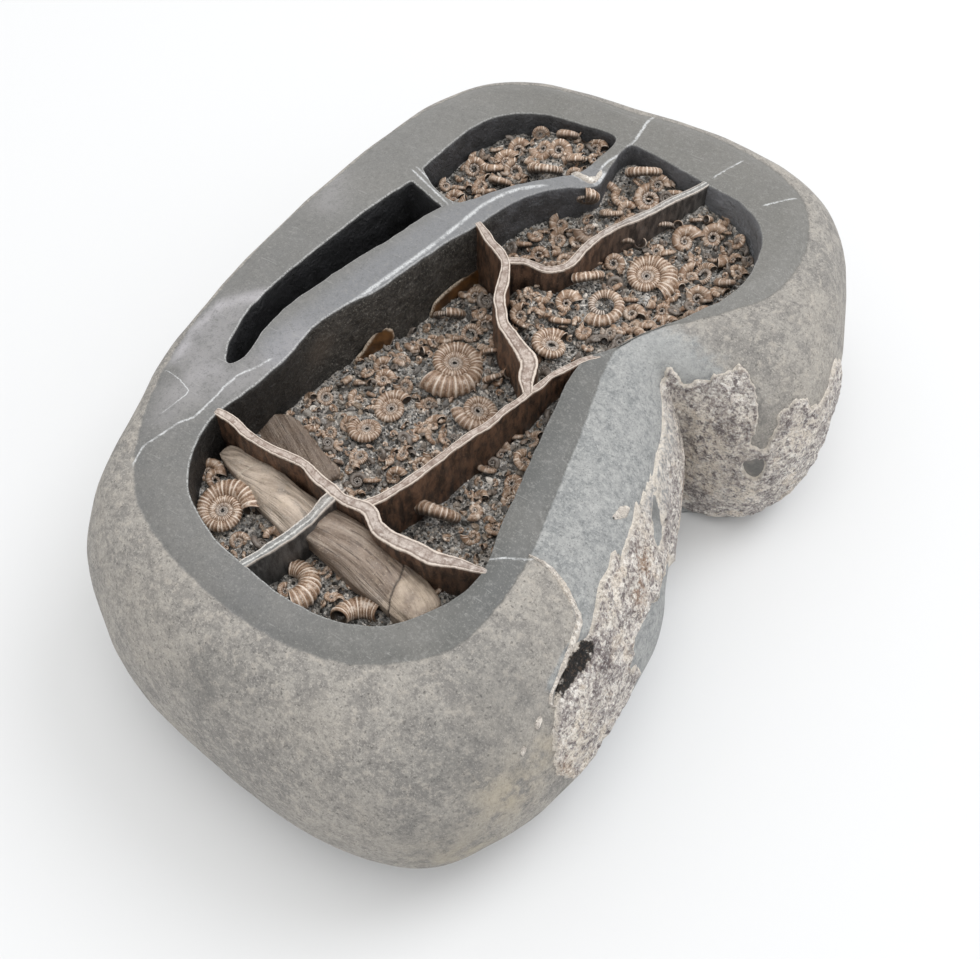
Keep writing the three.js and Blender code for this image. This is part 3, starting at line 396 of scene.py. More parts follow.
# Broad soft streaks of painted sheen on the polish: strength, spread, line.
SHEEN_MARKS = [[0.25, 6, [[-84, 40], [-80, 34], [-77, 28]]],
              [0.3, 7, [[-66, -57], [-58, -48], [-53, -36], [-51, -26]]],
              [0.2, 5, [[-72, -62], [-69, -70]]]]

# ---------------------------------------------------------------- camera and light
CAMERA = {"eye": (115.41, -200.57, 366.61), "aim": (23, -40.5, 82), "sensor": 36, "lens": 44.08}
# Each lamp is a disk: place, aim, width, power, colour.
LAMPS = {
    "window": [(620, 960, 1650), (0, 0, 50), 1000, 12.4, "#fbfcff"],
    "overhead": [(50, -50, 1500), (0, 0, 0), 1000, 5.0, "#fffdf8"],
}
DAYLIGHT = 0.93
FLOOR_REACH = 4000.0


# ================================================================ numbers and outlines
def catmull_rom(points, closed, per_span):
    """A smooth centripetal curve through the points."""
    points = np.asarray(points, float)
    if closed:
        ring = np.vstack([points[-1:], points, points[:2]])
    else:
        first = 2 * points[0] - points[1]
        last = 2 * points[-1] - points[-2]
        ring = np.vstack([first, points, last])
    share = np.arange(per_span)[:, None] / per_span
    spans = []
    for p0, p1, p2, p3 in zip(ring, ring[1:], ring[2:], ring[3:]):
        t0, t1, t2 = (max(np.linalg.norm(b - a) ** 0.5, 1e-6)
                      for a, b in ((p0, p1), (p1, p2), (p2, p3)))
        start = ((p1 - p0) / t0 - (p2 - p0) / (t0 + t1) + (p2 - p1) / t1) * t1
        end = ((p2 - p1) / t1 - (p3 - p1) / (t1 + t2) + (p3 - p2) / t2) * t1
        square, cube = share ** 2, share ** 3
        spans.append(p1 + start * share
                     + (3 * (p2 - p1) - 2 * start - end) * square
                     + (2 * (p1 - p2) + start + end) * cube)
    if not closed:
        spans.append(points[-1:])
    return np.vstack(spans)


def lengths_along(line):
    """How far along the line each of its points lies."""
    return np.r_[0, np.cumsum(np.linalg.norm(np.diff(line, axis=0), axis=1))]


def even(line, step, closed=False):
    """The same line with its points evenly spaced."""
    line = np.asarray(line, float)
    if closed:
        line = np.vstack([line, line[:1]])
    lengths = lengths_along(line)
    count = max(int(round(lengths[-1] / step)), 2)
    wanted = np.linspace(0, lengths[-1], count + 1)
    result = np.column_stack([np.interp(wanted, lengths, axis) for axis in line.T])
    return result[:-1] if closed else result


def unit(vectors):
    return vectors / np.linalg.norm(vectors, axis=1)[:, None]


def outward(loop):
    """Unit directions pointing out of a counterclockwise loop."""
    along = np.roll(loop, -1, axis=0) - np.roll(loop, 1, axis=0)
    return unit(np.column_stack([along[:, 1], -along[:, 0]]))


def counterclockwise(loop):
    loop = np.asarray(loop, float)
    after = np.roll(loop, -1, axis=0)
    area = (loop[:, 0] * after[:, 1] - loop[:, 1] * after[:, 0]).sum()
    return loop if area > 0 else loop[::-1].copy()


def smooth_loop(outline, step, per_span=8):
    """An outline as a smooth counterclockwise loop of evenly spaced points."""
    return even(catmull_rom(counterclockwise(outline), True, per_span), step, True)


def raised(plan, z=0.0):
    """Points of a plan, lifted to one height or to a height each."""
    return np.column_stack([plan, np.broadcast_to(z, len(plan))])


def inside(points, outline):
    """Which of the points lie in the outline."""
    x, y = points[:, 0], points[:, 1]
    result = np.zeros(len(points), bool)
    for (ax, ay), (bx, by) in zip(outline, np.roll(outline, -1, axis=0)):
        if ay == by:
            continue
        result ^= ((ay > y) != (by > y)) & (x < ax + (bx - ax) * (y - ay) / (by - ay))
    return result


def beside(points, line):
    """Signed distance to a line, positive on its left, and how far along it that is."""
    line = np.asarray(line, float)
    best = np.full(len(points), 1e9)
    signed = np.zeros(len(points))
    along = np.zeros(len(points))
    done = 0.0
    for a, b in zip(line, line[1:]):
        span = b - a
        length = np.linalg.norm(span)
        share = np.clip(((points - a) @ span) / length ** 2, 0, 1)
        away = points - (a + share[:, None] * span)
        distance = np.linalg.norm(away, axis=1)
        side = np.sign(span[0] * away[:, 1] - span[1] * away[:, 0])
        nearer = distance < best
        best = np.where(nearer, distance, best)
        signed = np.where(nearer, distance * side, signed)
        along = np.where(nearer, done + share * length, along)
        done += length
    return signed, along


def roughness_at(points, size, seed):
    """Smooth random values from -1 to 1 that vary over this size."""
    shifted = np.asarray(points, float) / size + seed
    return np.array([noise.noise(Vector(p)) for p in shifted])


def lumps(points, *layers):
    """Unevenness summed from layers, each with its size, seed and height."""
    return sum(roughness_at(points, size, seed) * height for size, seed, height in layers)


def smooth_step(value, low, high):
    share = np.clip((value - low) / (high - low), 0, 1)
    return share * share * (3 - 2 * share)


def bell(distance, spread, power=2):
    """1 at no distance, fading to 0 over the spread."""
    return np.exp(-(distance / spread) ** power)


def distance_to(points, place):
    return np.linalg.norm(points - place, axis=1)


def spots(points, rows, size, seed):
    """How deep the points lie in any of the spots, whose edges are uneven."""
    uneven = roughness_at(points, size, seed) * 2
    result = np.zeros(len(points))
    for x, y, z, spread, strength in rows:
        away = distance_to(points, [x, y, z]) + uneven
        result = np.maximum(result, strength * bell(away, spread))
    return result


def nearest_distance(points, loop):
    tree = KDTree(len(loop))
    for i, point in enumerate(loop):
        tree.insert((point[0], point[1], 0), i)
    tree.balance()
    return np.array([tree.find((p[0], p[1], 0))[2] for p in points])


def in_region(points, outline, holes):
    keep = inside(points, outline)
    for hole in holes:
        keep &= ~inside(points, hole)
    return keep


def fill(outline, holes=(), step=None, seed=1):
    """Points and triangles of a flat region: the loops' own points come first."""
    loops = [np.asarray(loop, float) for loop in (outline, *holes)]
    edges = []
    start = 0
    for loop in loops:
        count = len(loop)
        edges += [(start + i, start + (i + 1) % count) for i in range(count)]
        start += count
    points = np.vstack(loops)
    if step:
        low, high = outline.min(axis=0), outline.max(axis=0)
        xs, ys = np.meshgrid(np.arange(low[0], high[0], step), np.arange(low[1], high[1], step))
        grid = np.column_stack([xs.ravel(), ys.ravel()])
        grid += np.random.default_rng(seed).uniform(-0.25, 0.25, grid.shape) * step
        grid = grid[in_region(grid, outline, holes)]
        grid = grid[nearest_distance(grid, points) > 0.6 * step]
        points = np.vstack([points, grid])
    found = delaunay_2d_cdt([Vector(p) for p in points], edges, [], 0, 1e-6)
    made = np.array([list(v) for v in found[0]])
    triangles = np.array([face for face in found[2]])
    return made, triangles[in_region(made[triangles].mean(axis=1), outline, holes)]


def strip(rows, columns, closed=True):
    """Quads over rows of points, each row following the one before it."""
    last = columns if closed else columns - 1
    faces = []
    for row in range(rows - 1):
        for column in range(last):
            after = (column + 1) % columns
            low = row * columns
            faces.append((low + column, low + after, low + columns + after,
                          low + columns + column))
    return faces


def tube(rows, columns):
    """The skin of a tube of rings, closed at both ends."""
    start = tuple(range(columns))[::-1]
    end = tuple((rows - 1) * columns + i for i in range(columns))
    return [*strip(rows, columns), start, end]


def band(rim, below):
    """Faces between the first points of two layers, the lower of which starts at below."""
    return [(i, below + i, below + (i + 1) % rim, (i + 1) % rim) for i in range(rim)]


class Shape:
    """Points, faces and fields gathered part by part."""

    def __init__(self, *fields):
        self.points, self.faces = [], []
        self.fields = {name: [] for name in fields}
        self.total = 0

    def add(self, points, faces, **fields):
        """Takes in a part; a field that isn't given is 0 on it."""
        self.points.append(points)
        self.faces += [tuple(self.total + i for i in face) for face in faces]
        for name, values in self.fields.items():
            given = np.asarray(fields.get(name, 0), float)
            values.append(np.broadcast_to(given, len(points)))
        self.total += len(points)

    def joined(self):
        fields = {name: np.concatenate(values) for name, values in self.fields.items()}
        return np.vstack(self.points), self.faces, fields


# ================================================================ heights
def top_height(xy):
    """The ground top's own level, which dips where the rim narrows."""
    distance = np.hypot(xy[:, 0] - DIP["x"], xy[:, 1] - DIP["y"])
    return TOP - DIP["depth"] * np.exp(-(distance ** 2) / (2 * DIP["spread"] ** 2))


def ground_height(xy):
    """The ground top, falling off towards the rim."""
    inward = np.clip(1 - nearest_distance(xy, RIM) / RIM_FALL_WIDTH, 0, 1)
    return top_height(xy) - RIM_FALL * inward ** 2


def bed_height(xy):
    """A fossil bed's height, blended from the heights given near by."""
    xy = np.asarray(xy, float)
    across = xy[:, None, :] - BED_HEIGHTS[None, :, :2]
    weight = ((across ** 2).sum(axis=2) + 4) ** -1.5
    k = 2 * math.pi / BED_WAVE["length"]
    wave = np.sin(k * xy[:, 0] + BED_WAVE["phase"]) * np.sin(k * xy[:, 1])
    return (weight * BED_HEIGHTS[:, 2]).sum(axis=1) / weight.sum(axis=1) + BED_WAVE["height"] * wave


# ================================================================ finishes
def tint(code):
    """A colour as it is written on a paint chart, turned into light values."""
    parts = [int(code[i:i + 2], 16) / 255 for i in (1, 3, 5)]
    return [p / 12.92 if p <= 0.04045 else ((p + 0.055) / 1.055) ** 2.4 for p in parts] + [1.0]


class Wire:
    """A socket in a finish that can be used in sums."""

    def __init__(self, finish, socket):
        self.finish = finish
        self.socket = socket

    def maths(self, operation, *values):
        return self.finish.node("ShaderNodeMath", {"operation": operation},
                                dict(enumerate((self, *values))))

    def __add__(self, other):
        return self.maths("ADD", other)

    def __sub__(self, other):
        return self.maths("SUBTRACT", other)

    def __rsub__(self, other):
        return (self * -1.0) + other

    def __mul__(self, other):
        return self.maths("MULTIPLY", other)

    __radd__ = __add__
    __rmul__ = __mul__

    def size(self):
        return self.maths("ABSOLUTE")

    def lowest(self, other):
        return self.maths("MINIMUM", other)

    def between(self, low, high):
        """0 at low, 1 at high and a smooth rise between them, whichever is larger."""
        return self.finish.node("ShaderNodeMapRange", {"interpolation_type": "SMOOTHSTEP"},
                                {"Value": self, "From Min": low, "From Max": high})


class Finish:
    """One material and the nodes that make it."""

    def __init__(self, name):
        self.material = bpy.data.materials.new(name)
        self.material.use_nodes = True
        self.nodes = self.material.node_tree.nodes
        self.links = self.material.node_tree.links
        self.shader = self.nodes["Principled BSDF"]

    def node(self, kind, settings=None, sockets=None, out=0):
        made = self.nodes.new(kind)
        for name, value in (settings or {}).items():
            if name == "stops":
                self.set_stops(made.color_ramp, value)
            else:
                setattr(made, name, value)
        for name, value in (sockets or {}).items():
            self.put(made.inputs[name], value)
        return Wire(self, made.outputs[out])

    def put(self, socket, value):
        if isinstance(value, Wire):
            self.links.new(value.socket, socket)
        else:
            socket.default_value = value

    @staticmethod
    def set_stops(ramp, stops):
        while len(ramp.elements) < len(stops):
            ramp.elements.new(0.5)
        for element, (place, colour) in zip(ramp.elements, stops):
            element.position = place
            element.color = tint(colour)

    def stretched(self, where, scale, turn=0.0):
        return self.node("ShaderNodeMapping", {}, {
            "Vector": where, "Rotation": (0, 0, turn), "Scale": scale})

    def place(self, scale=(1, 1, 1)):
        """Object coordinates in millimetres."""
        coordinates = self.node("ShaderNodeTexCoord", out="Object")
        return self.stretched(coordinates, [1000 * s for s in scale])

    def field(self, name):
        return self.node("ShaderNodeAttribute", {"attribute_name": name}, out="Fac")

    def grain(self, where, size, detail=3.0, rough=0.55):
        """Cloudy noise whose patches are about this many millimetres wide."""
        return self.node("ShaderNodeTexNoise", {}, {
            "Vector": where, "Scale": 1 / size, "Detail": detail, "Roughness": rough})

    def cells(self, where, size, out="Distance"):
        """Grains of about this many millimetres; Color gives each a value of its own."""
        return self.node("ShaderNodeTexVoronoi", {}, {"Vector": where, "Scale": 1 / size}, out)

    def grains_toned(self, where, size, stops):
        """A colour for each grain, picked by chance from the stops."""
        value = self.node("ShaderNodeSeparateColor", {}, {
            "Color": self.cells(where, size, "Color")})
        return self.ramp(value, stops)

    def ramp(self, value, stops):
        return self.node("ShaderNodeValToRGB", {"stops": stops}, {"Fac": value})

    def mix(self, share, first, second):
        first, second = (tint(c) if isinstance(c, str) else c for c in (first, second))
        return self.node("ShaderNodeMix", {"data_type": "RGBA"},
                         {0: share, 6: first, 7: second}, out=2)

    def over(self, colour, *rows):
        """Lays tints over a colour one after another, each with its share."""
        for share, second in rows:
            colour = self.mix(share, colour, second)
        return colour

    def mottled(self, colour, *rows):
        """Lays tints over a colour: a pattern, where it starts, where it is full, strength, tint."""
        return self.over(colour, *((pattern.between(start, full) * strength, second)
                                   for pattern, start, full, strength, second in rows))

    def bump(self, height, depth, strength=1.0, under=None):
        """Relief of this many millimetres where the height goes from 0 to 1."""
        sockets = {"Height": height, "Distance": depth / 1000, "Strength": strength}
        if under:
            sockets["Normal"] = under
        return self.node("ShaderNodeBump", {}, sockets)

    def finish(self, colour, roughness, normal=None, specular=0.5):
        self.put(self.shader.inputs["Base Color"], colour)
        self.put(self.shader.inputs["Roughness"], roughness)
        self.shader.inputs["Specular IOR Level"].default_value = specular
        if normal:
            self.put(self.shader.inputs["Normal"], normal)
        return self.material


class StoneGrain:
    """The patterns that every part of the limestone shares, from broad clouds to fine grain."""

    def __init__(self, f):
        self.where = f.place()
        self.broad = f.grain(self.where, 26, 3)
        self.cloudy = f.grain(self.where, 6, 4, 0.65)
        self.patches = f.grain(self.where, 3.0, 4, 0.7)
        self.freckles = f.grain(self.where, 1.5, 4, 0.75)
        self.pores = f.grain(self.where, 1.1, 2, 0.5)
        self.fine = f.grain(self.where, 0.55, 3, 0.75)
        self.wobble = (f.grain(self.where, 3.5, 3) - 0.5) * 1.6


def weathered_stone(f, g):
    """The outside: grey beige with fine freckles, smoother and bluer at the waist, with spots of
    painted shade and painted light.
    """
    natural = f.mottled(
        f.mix(g.cloudy.between(0.36, 0.64), "#817e7a", "#9a9690"),
        (g.broad, 0.42, 0.66, 0.4, "#a8a299"), (g.broad, 0.44, 0.3, 0.4, "#7f7d79"),
        (g.patches, 0.54, 0.64, 0.3, "#b0a79c"), (g.patches, 0.45, 0.34, 0.32, "#767472"),
        (g.freckles, 0.52, 0.64, 0.42, "#b6b0a7"), (g.freckles, 0.47, 0.35, 0.42, "#706c68"),
        (g.fine, 0.56, 0.66, 0.45, "#cbc6be"), (g.fine, 0.42, 0.33, 0.6, "#565451"),
        (g.pores, 0.36, 0.29, 0.5, "#4d4b48"))
    sandy = f.field("sandy") * g.cloudy.between(0.3, 0.6) * 0.7
    natural = f.mix(sandy, natural, "#b3a791")
    smooth = f.mottled(
        f.mix(g.cloudy.between(0.35, 0.65), "#8a8c8c", "#9a9b9a"),
        (g.patches, 0.54, 0.64, 0.4, "#adaeac"), (g.patches, 0.45, 0.36, 0.4, "#717475"),
        (g.freckles, 0.52, 0.64, 0.4, "#b4b5b3"), (g.freckles, 0.46, 0.35, 0.45, "#6f7172"),
        (g.fine, 0.57, 0.66, 0.5, "#c3c4c2"), (g.fine, 0.43, 0.33, 0.7, "#505252"))
    torn = (g.freckles - 0.5) * 1.8 + (g.fine - 0.5) * 0.8
    # painted shade, near black, in the dented hollow beside the crust
    hollow = f.mix(g.fine.between(0.52, 0.7), "#0c0a09", "#43382f")
    return f.over(natural,
                  ((f.field("worn") + g.wobble).between(-0.4, 0.5), smooth),
                  # painted shade in the shaded spots, painted light in the pale spots
                  (f.field("shaded") * 0.8, "#5b5b59"), (f.field("pale") * 0.8, "#b9bab9"),
                  ((f.field("hole") + torn).between(0.3, 0.75), hollow))


def ground_stone(f, g, side, shine):
    """The ground top: dark grey with fine scratches, and painted light and shade: sheen where the
    polish shines, lighter to the left and the back, darker at the front and where the rim narrows,
    bluish on the ridge.
    """
    back = f.field("back")
    polished = f.over(
        # painted light: lighter towards the left (side) and the back, darker at the front
        f.mix(side, "#666561", "#747473"),
        (1 - back * 0.9, f.mix(side, "#5e5e5b", "#6b6b6a")), (back * 0.35, "#7e7c77"),
        (g.cloudy.between(0.35, 0.7) * 0.5, "#6d6c69"),
        # painted shade where the rim narrows and dips (waist)
        (g.broad.between(0.42, 0.7) * 0.35, "#7d7b77"), (f.field("waist") * 0.6, "#4d4f4f"),
        # painted bluish reflection on the ridge, and painted sheen where the polish shines
        (f.field("ridge") * 0.65, "#7d7f84"), (shine.lowest(1.0), "#b6b3b7"))
    polished = f.mottled(
        polished,
        (g.freckles, 0.53, 0.64, 0.35, "#8e8d8a"), (g.freckles, 0.46, 0.36, 0.3, "#565754"),
        (g.fine, 0.57, 0.66, 0.45, "#9a9994"), (g.fine, 0.42, 0.33, 0.5, "#464746"))
    scratches = f.grain(f.stretched(g.where, (0.06, 1.4, 1), 0.7), 1.0, 2)
    return f.mix(scratches.between(0.66, 0.72) * (0.22 + shine * 0.5), polished, "#b4b4b1")


def hollow_stone(f, g):
    """The walls of the hollows: dark and pitted, with pale crumbs, and painted shade, near black, in
    the slot, half as strong in the back hollow, and at the main one's front.
    """
    rock = f.mottled(
        f.mix(g.cloudy.between(0.3, 0.7), "#2f2d2a", "#4a4743"),
        (g.freckles, 0.54, 0.66, 0.6, "#6f6b64"), (g.fine, 0.57, 0.66, 0.7, "#a5a198"),
        (g.freckles, 0.45, 0.35, 0.7, "#1b1a19"))
    slate = f.mix(g.cloudy.between(0.3, 0.7), "#3d3e40", "#5c5d61")
    slate = f.mix(g.fine.between(0.57, 0.66) * 0.5, slate, "#8d8e8f")
    # the last tint is painted shade, near black, deep in the hollows
    return f.over(rock, (f.field("slate"), slate), (f.field("bright") * 0.7, "#85878b"),
                  (f.field("taupe") * 0.7, "#62584e"), (f.field("black") * 0.75, "#101010"))


def calcite_line(f, g, name, half):
    """How much of a white line shows at a place: it wavers, thins out and breaks up."""
    uneven = (f.grain(g.where, 1.5, 4, 0.75) - 0.5) * (0.7 + half)
    distance = (f.field(name) + uneven).size()
    line = distance.between(half * 1.5, half * 0.2)
    line = line * (f.grain(g.where, 3.0, 3).between(0.36, 0.54) * 0.6 + 0.4)
    return line * f.field(name + "_end") * (g.fine.between(0.36, 0.52) * 0.7 + 0.3)


def limestone_finish():
    f = Finish("limestone")
    g = StoneGrain(f)
    ground = (f.field("below_rim") + g.wobble).between(0.9, -0.1)
    wall, side = f.field("wall"), f.field("side")
    # painted sheen on the polish
    shine = f.field("facet") * g.cloudy.between(0.1, 0.6)
    colour = f.over(weathered_stone(f, g), (ground, ground_stone(f, g, side, shine)),
                    (wall, hollow_stone(f, g)))
    for name, (half, _) in RIM_VEINS.items():
        line = calcite_line(f, g, name, half)
        colour = f.mix(line * (1 - wall) * 0.8, colour, "#d3d5d6")
    # painted highlight along the ground edges of the hollows, stronger towards the left
    lip = f.field("lip") * g.fine.between(0.4, 0.56) * (0.15 + side * 0.5)
    colour = f.mix(lip, colour, "#c4c5c4")

    roughness = 0.74 - ground * (0.24 + shine * 0.1) + (g.fine - 0.5) * 0.15
    relief = (g.patches * 1.2 + g.freckles * 0.8 + g.fine * 0.5) * (1 - ground * 0.85)
    pits = (g.freckles + g.cloudy) * wall
    normal = f.bump(pits, 1.1, 0.8, f.bump(relief, 0.45, 0.7))
    return f.finish(colour, roughness.lowest(0.9), normal)


def bed_finish():
    f = Finish("fossil_bed")
    where = f.place()
    patches = f.grain(where, 5, 3)
    fine = f.grain(where, 0.3, 2, 0.7)
    colour = f.grains_toned(where, BED_GRAIN, [
        (0.0, "#343331"), (0.14, "#6a6966"), (0.42, "#969491"), (0.7, "#b4b1ac"),
        (0.88, "#d2ccc5"), (1.0, "#ece6df")])
    colour = f.mottled(
        colour, (patches, 0.5, 0.66, 0.6, "#504f4d"), (patches, 0.46, 0.34, 0.5, "#a0958a"))
    colour = f.over(
        # painted shade in the bed's dips (low)
        colour, (f.field("sandy") * 0.6, "#b5aca3"), (f.field("low") * 0.6, "#292725"))
    normal = f.bump(fine, 0.15, 0.6, f.bump(1 - f.cells(where, BED_GRAIN), 0.5, 0.9))
    return f.finish(colour, 0.45 + fine * 0.25, normal)


def ammonite_finish(name, pale, brown, dark, grey_from):
    """Ribs pale and grooves brown, partly as painted highlight and shade of the ribs; from a tone on
    a shell is grey, and so is an old whorl; painted shade lies under each whorl.
    """
    f = Finish(name)
    where = f.place()
    rib, age, tone, lit = f.field("rib"), f.field("age"), f.field("tone"), f.field("lit")
    cloudy = f.grain(where, 2.2, 4, 0.65)
    fine = f.grain(where, 0.45, 2, 0.7)
    # pale crests and dark grooves: partly their colour, partly painted highlight and shade of the
    # ribs' relief
    colour = f.mottled(
        f.mix(cloudy.between(0.4, 0.62), brown, "#8a6b53"),
        (rib, 0.25, 0.8, 0.85, pale), (rib, 0.07, 0.0, 0.6, dark),
        (cloudy, 0.46, 0.32, 0.6, "#dfd2c5"),
        (fine, 0.56, 0.7, 0.55, "#46382d"), (fine, 0.42, 0.3, 0.45, "#f2e8dc"))
    grey = f.mix(rib.between(0.1, 0.5), "#4f4a46", "#d2cac2")
    colour = f.over(
        colour, ((tone * 7.3).maths("FRACT") * 0.3, "#836d5c"),
        (tone.between(grey_from, grey_from + 0.2) * 0.8, "#66625e"), (age * 0.8, grey),
        # painted shade under each whorl and in its broken mouths (lit)
        (lit.between(0.5, 0.05) * 0.85, "#1c1814"))
    return f.finish(colour, 0.28 + fine * 0.25, f.bump(fine, 0.14, 0.6))


def grit_finish():
    f = Finish("grit")
    fine = f.grain(f.place(), 0.35, 2, 0.7)
    colour = f.ramp(f.field("tone"), [
        (0.0, "#242321"), (0.2, "#4c4a47"), (0.45, "#7f7b77"), (0.6, "#8f7e6c"),
        (0.76, "#a39e97"), (0.9, "#cbc1b5"), (1.0, "#f4ede4")])
    colour = f.over(
        # painted shade in the dips of the bed (low)
        colour, (fine.between(0.5, 0.7) * 0.35, "#484643"), (f.field("low") * 0.4, "#31302e"))
    return f.finish(colour, 0.18 + fine * 0.3, f.bump(fine, 0.08, 0.5))


def vein_finish():
    f = Finish("calcite_vein")
    where = f.place()
    across, depth, grey = f.field("across"), f.field("depth"), f.field("grey")
    fine = f.grain(where, 0.5, 3, 0.7)
    cloudy = f.grain(where, 2.4, 3, 0.6)
    crystals = f.grain(where, 1.1, 4, 0.7)
    torn = (f.grain(where, 1.6, 4, 0.7) - 0.5) * 1.2
    edge = across.size() + torn * 0.35

    # the ground top: brown and white crystals between two cream skins
    top = f.mottled(
        f.mix(cloudy.between(0.36, 0.62), "#8c7a6f", "#b9aba1"),
        (crystals, 0.52, 0.66, 0.6, "#ddd3ca"), (crystals, 0.45, 0.35, 0.5, "#5d4a3e"),
        (fine, 0.56, 0.68, 0.5, "#574639"))
    stripes = (across * 6 + torn * 5 + 0.7).maths("SINE")
    pale = f.over(
        f.mix(cloudy.between(0.35, 0.65), "#6c6d6c", "#8f8f8d"),
        (stripes.between(0.35, 0.8) * fine.between(0.38, 0.5), "#d0d0cc"),
        (fine.between(0.55, 0.66) * 0.5, "#4c4a48"))
    seam = edge.between(0.46, 0.58) * edge.between(0.78, 0.66)
    cream = edge.between(0.7, 0.82) * fine.between(0.3, 0.46)
    top = f.over(
        top, (grey, pale), (seam * (1 - grey) * 0.6, "#5a483b"),
        (cream * (1 - grey * 0.5) * 0.85, "#dacdc0"), (edge.between(0.94, 1.06) * 0.7, "#65503f"))

    # the leathery brown sides
    streaks = f.grain(f.place((1, 1, 0.3)), 2.2, 5, 0.65)
    sides = f.mottled(
        f.mix(streaks.between(0.36, 0.64), "#2f221a", "#705340"),
        (fine, 0.55, 0.68, 0.5, "#a0836c"), (cloudy, 0.52, 0.7, 0.6, "#261d18"))
    sides = f.mix(grey, sides, f.mix(streaks.between(0.36, 0.64), "#2f2f2f", "#5b5b5a"))
    colour = f.mix(depth.between(0.3, 0.9), top, sides)
    normal = f.bump(streaks * depth.between(0.3, 1.0) + fine * 0.3, 0.6, 0.8)
    return f.finish(colour, 0.4 + fine * 0.15, normal)


def wood_finish():
    f = Finish("fossil_wood")
    where = f.node("ShaderNodeUVMap", {"uv_map": "grain"})
    fibres = f.grain(f.stretched(where, (0.5, 0.05, 1)), 1.0, 6, 0.6)
    lines = f.grain(f.stretched(where, (1.6, 0.1, 1)), 1.0, 4, 0.65)
    blotches = f.grain(f.place(), 4, 4, 0.6)
    fine = f.grain(f.place(), 0.5, 2, 0.7)
    shade = f.field("shade")
    colour = f.ramp(fibres, [
        (0.3, "#53463b"), (0.42, "#877565"), (0.54, "#b3a191"), (0.7, "#e0d1c1")])
    colour = f.mottled(
        colour, (lines, 0.47, 0.37, 0.8, "#3d3128"), (lines, 0.56, 0.66, 0.35, "#d3c4b1"),
        (blotches, 0.5, 0.66, 0.5, "#8b8078"), (blotches, 0.42, 0.3, 0.4, "#c7b39b"))
    tip = f.mix(blotches.between(0.4, 0.6), "#cdbba6", "#a08f7e")
    crack = f.mix(shade.between(0.0, 0.4), "#cfc2b2", "#2c241e")
    colour = f.over(
        colour, (shade * 0.65, "#5e4f44"), (shade.between(0.4, 0.0) * 0.22, "#eadccb"),
        (f.field("tip") * 0.8, tip), (f.field("flank") * blotches.between(0.3, 0.5) * 0.7, "#3b2f26"),
        (f.field("crack"), crack))
    colour = f.mottled(
        colour, (fine, 0.6, 0.72, 0.4, "#e0d4c3"), (fine, 0.4, 0.3, 0.4, "#4a3d33"))
    normal = f.bump(blotches, 1.2, 0.5, f.bump(lines, 0.7, 0.9))
    return f.finish(colour, 0.3 + fine * 0.25, f.bump(fine, 0.12, 0.5, normal))


def flake_finish():
    f = Finish("shell")
    where = f.place()
    cloudy = f.grain(where, 4, 4, 0.6)
    fine = f.grain(where, 0.6, 2, 0.7)
    rim = f.field("rim")
    colour = f.over(
        f.mix(cloudy.between(0.3, 0.7), "#3f2a17", "#6e4c2b"),
        (fine.between(0.58, 0.7) * 0.5, "#33241a"), (rim * fine.between(0.35, 0.5), "#c2b4a2"))
    return f.finish(colour, 0.2 + cloudy * 0.25 + rim * 0.3, f.bump(fine, 0.1, 0.4))


def crust_finish():
    f = Finish("calcite_crust")
    where = f.place()
    patches = f.grain(where, 9, 4, 0.6)
    clusters = f.grain(where, 3.0, 4, 0.7)
    grains = f.grain(where, 0.8, 3, 0.75)
    fine = f.grain(where, 0.45, 2, 0.75)
    fibres = f.grain(f.place((1, 1, 0.12)), 1.3, 4, 0.6)
    colour = f.grains_toned(where, 1.0, [
        (0.0, "#787170"), (0.25, "#b5adaa"), (0.7, "#e2dad2"), (1.0, "#fcf8f2")])
    colour = f.mottled(
        colour, (patches, 0.51, 0.58, 0.6, "#857c7c"), (patches, 0.46, 0.36, 0.6, "#e0d0bd"),
        (clusters, 0.53, 0.61, 0.6, "#635a5b"), (clusters, 0.46, 0.38, 0.6, "#f6efe5"))
    # cream: pale spots, in the bay of the waist painted light
    colour = f.over(
        colour, (f.field("cream") * clusters.between(0.6, 0.45) * 0.8, "#eadfd0"),
        (f.field("smudge") * clusters.between(0.34, 0.52) * 0.8, "#5f5557"),
        (f.field("stain") * clusters.between(0.4, 0.55) * 0.8, "#a57f5a"))
    colour = f.mottled(
        colour, (grains, 0.53, 0.63, 0.55, "#fffcf6"), (grains, 0.47, 0.37, 0.6, "#473d3d"),
        (fine, 0.58, 0.68, 0.4, "#9a7f6a"))
    fibrous = f.mix(fibres.between(0.4, 0.6), "#97999b", "#e4ddd4")
    # painted shade, near black, where the crust reaches the dented hollow
    hole = f.field("hole") + (clusters - 0.5) * 2.2 + (grains - 0.5) * 0.8
    hollow = f.mix(grains.between(0.5, 0.66), "#0f0c0b", "#4f4136")
    colour = f.over(
        colour, (f.field("streak") * 0.75, fibrous),
        (f.field("rim").between(0.4, 0.9) * clusters.between(0.38, 0.5) * 0.8, "#f0e7da"),
        (hole.between(0.4, 0.8), hollow))
    normal = f.bump(grains, 1.0, 1.0, f.bump(clusters, 1.8, 0.9))
    return f.finish(colour, 0.6 + fine * 0.2, normal)


# ================================================================ pieces
RIM = catmull_rom(RIM_LINE, True, COLUMNS)


def new_mesh(name, places, faces, fields):
    """A mesh from places in metres, with its fields."""
    mesh = bpy.data.meshes.new(name)
    mesh.from_pydata(places.tolist(), [], [tuple(int(i) for i in face) for face in faces])
    for field, values in fields.items():
        mesh.attributes.new(field, "FLOAT", "POINT").data.foreach_set(
            "value", np.asarray(values, np.float32))
    return mesh


def in_frame(points):
    """Millimetres from the outlines' own middle, as metres from the slab's."""
    return (np.asarray(points, float) + MIDDLE) / 1000


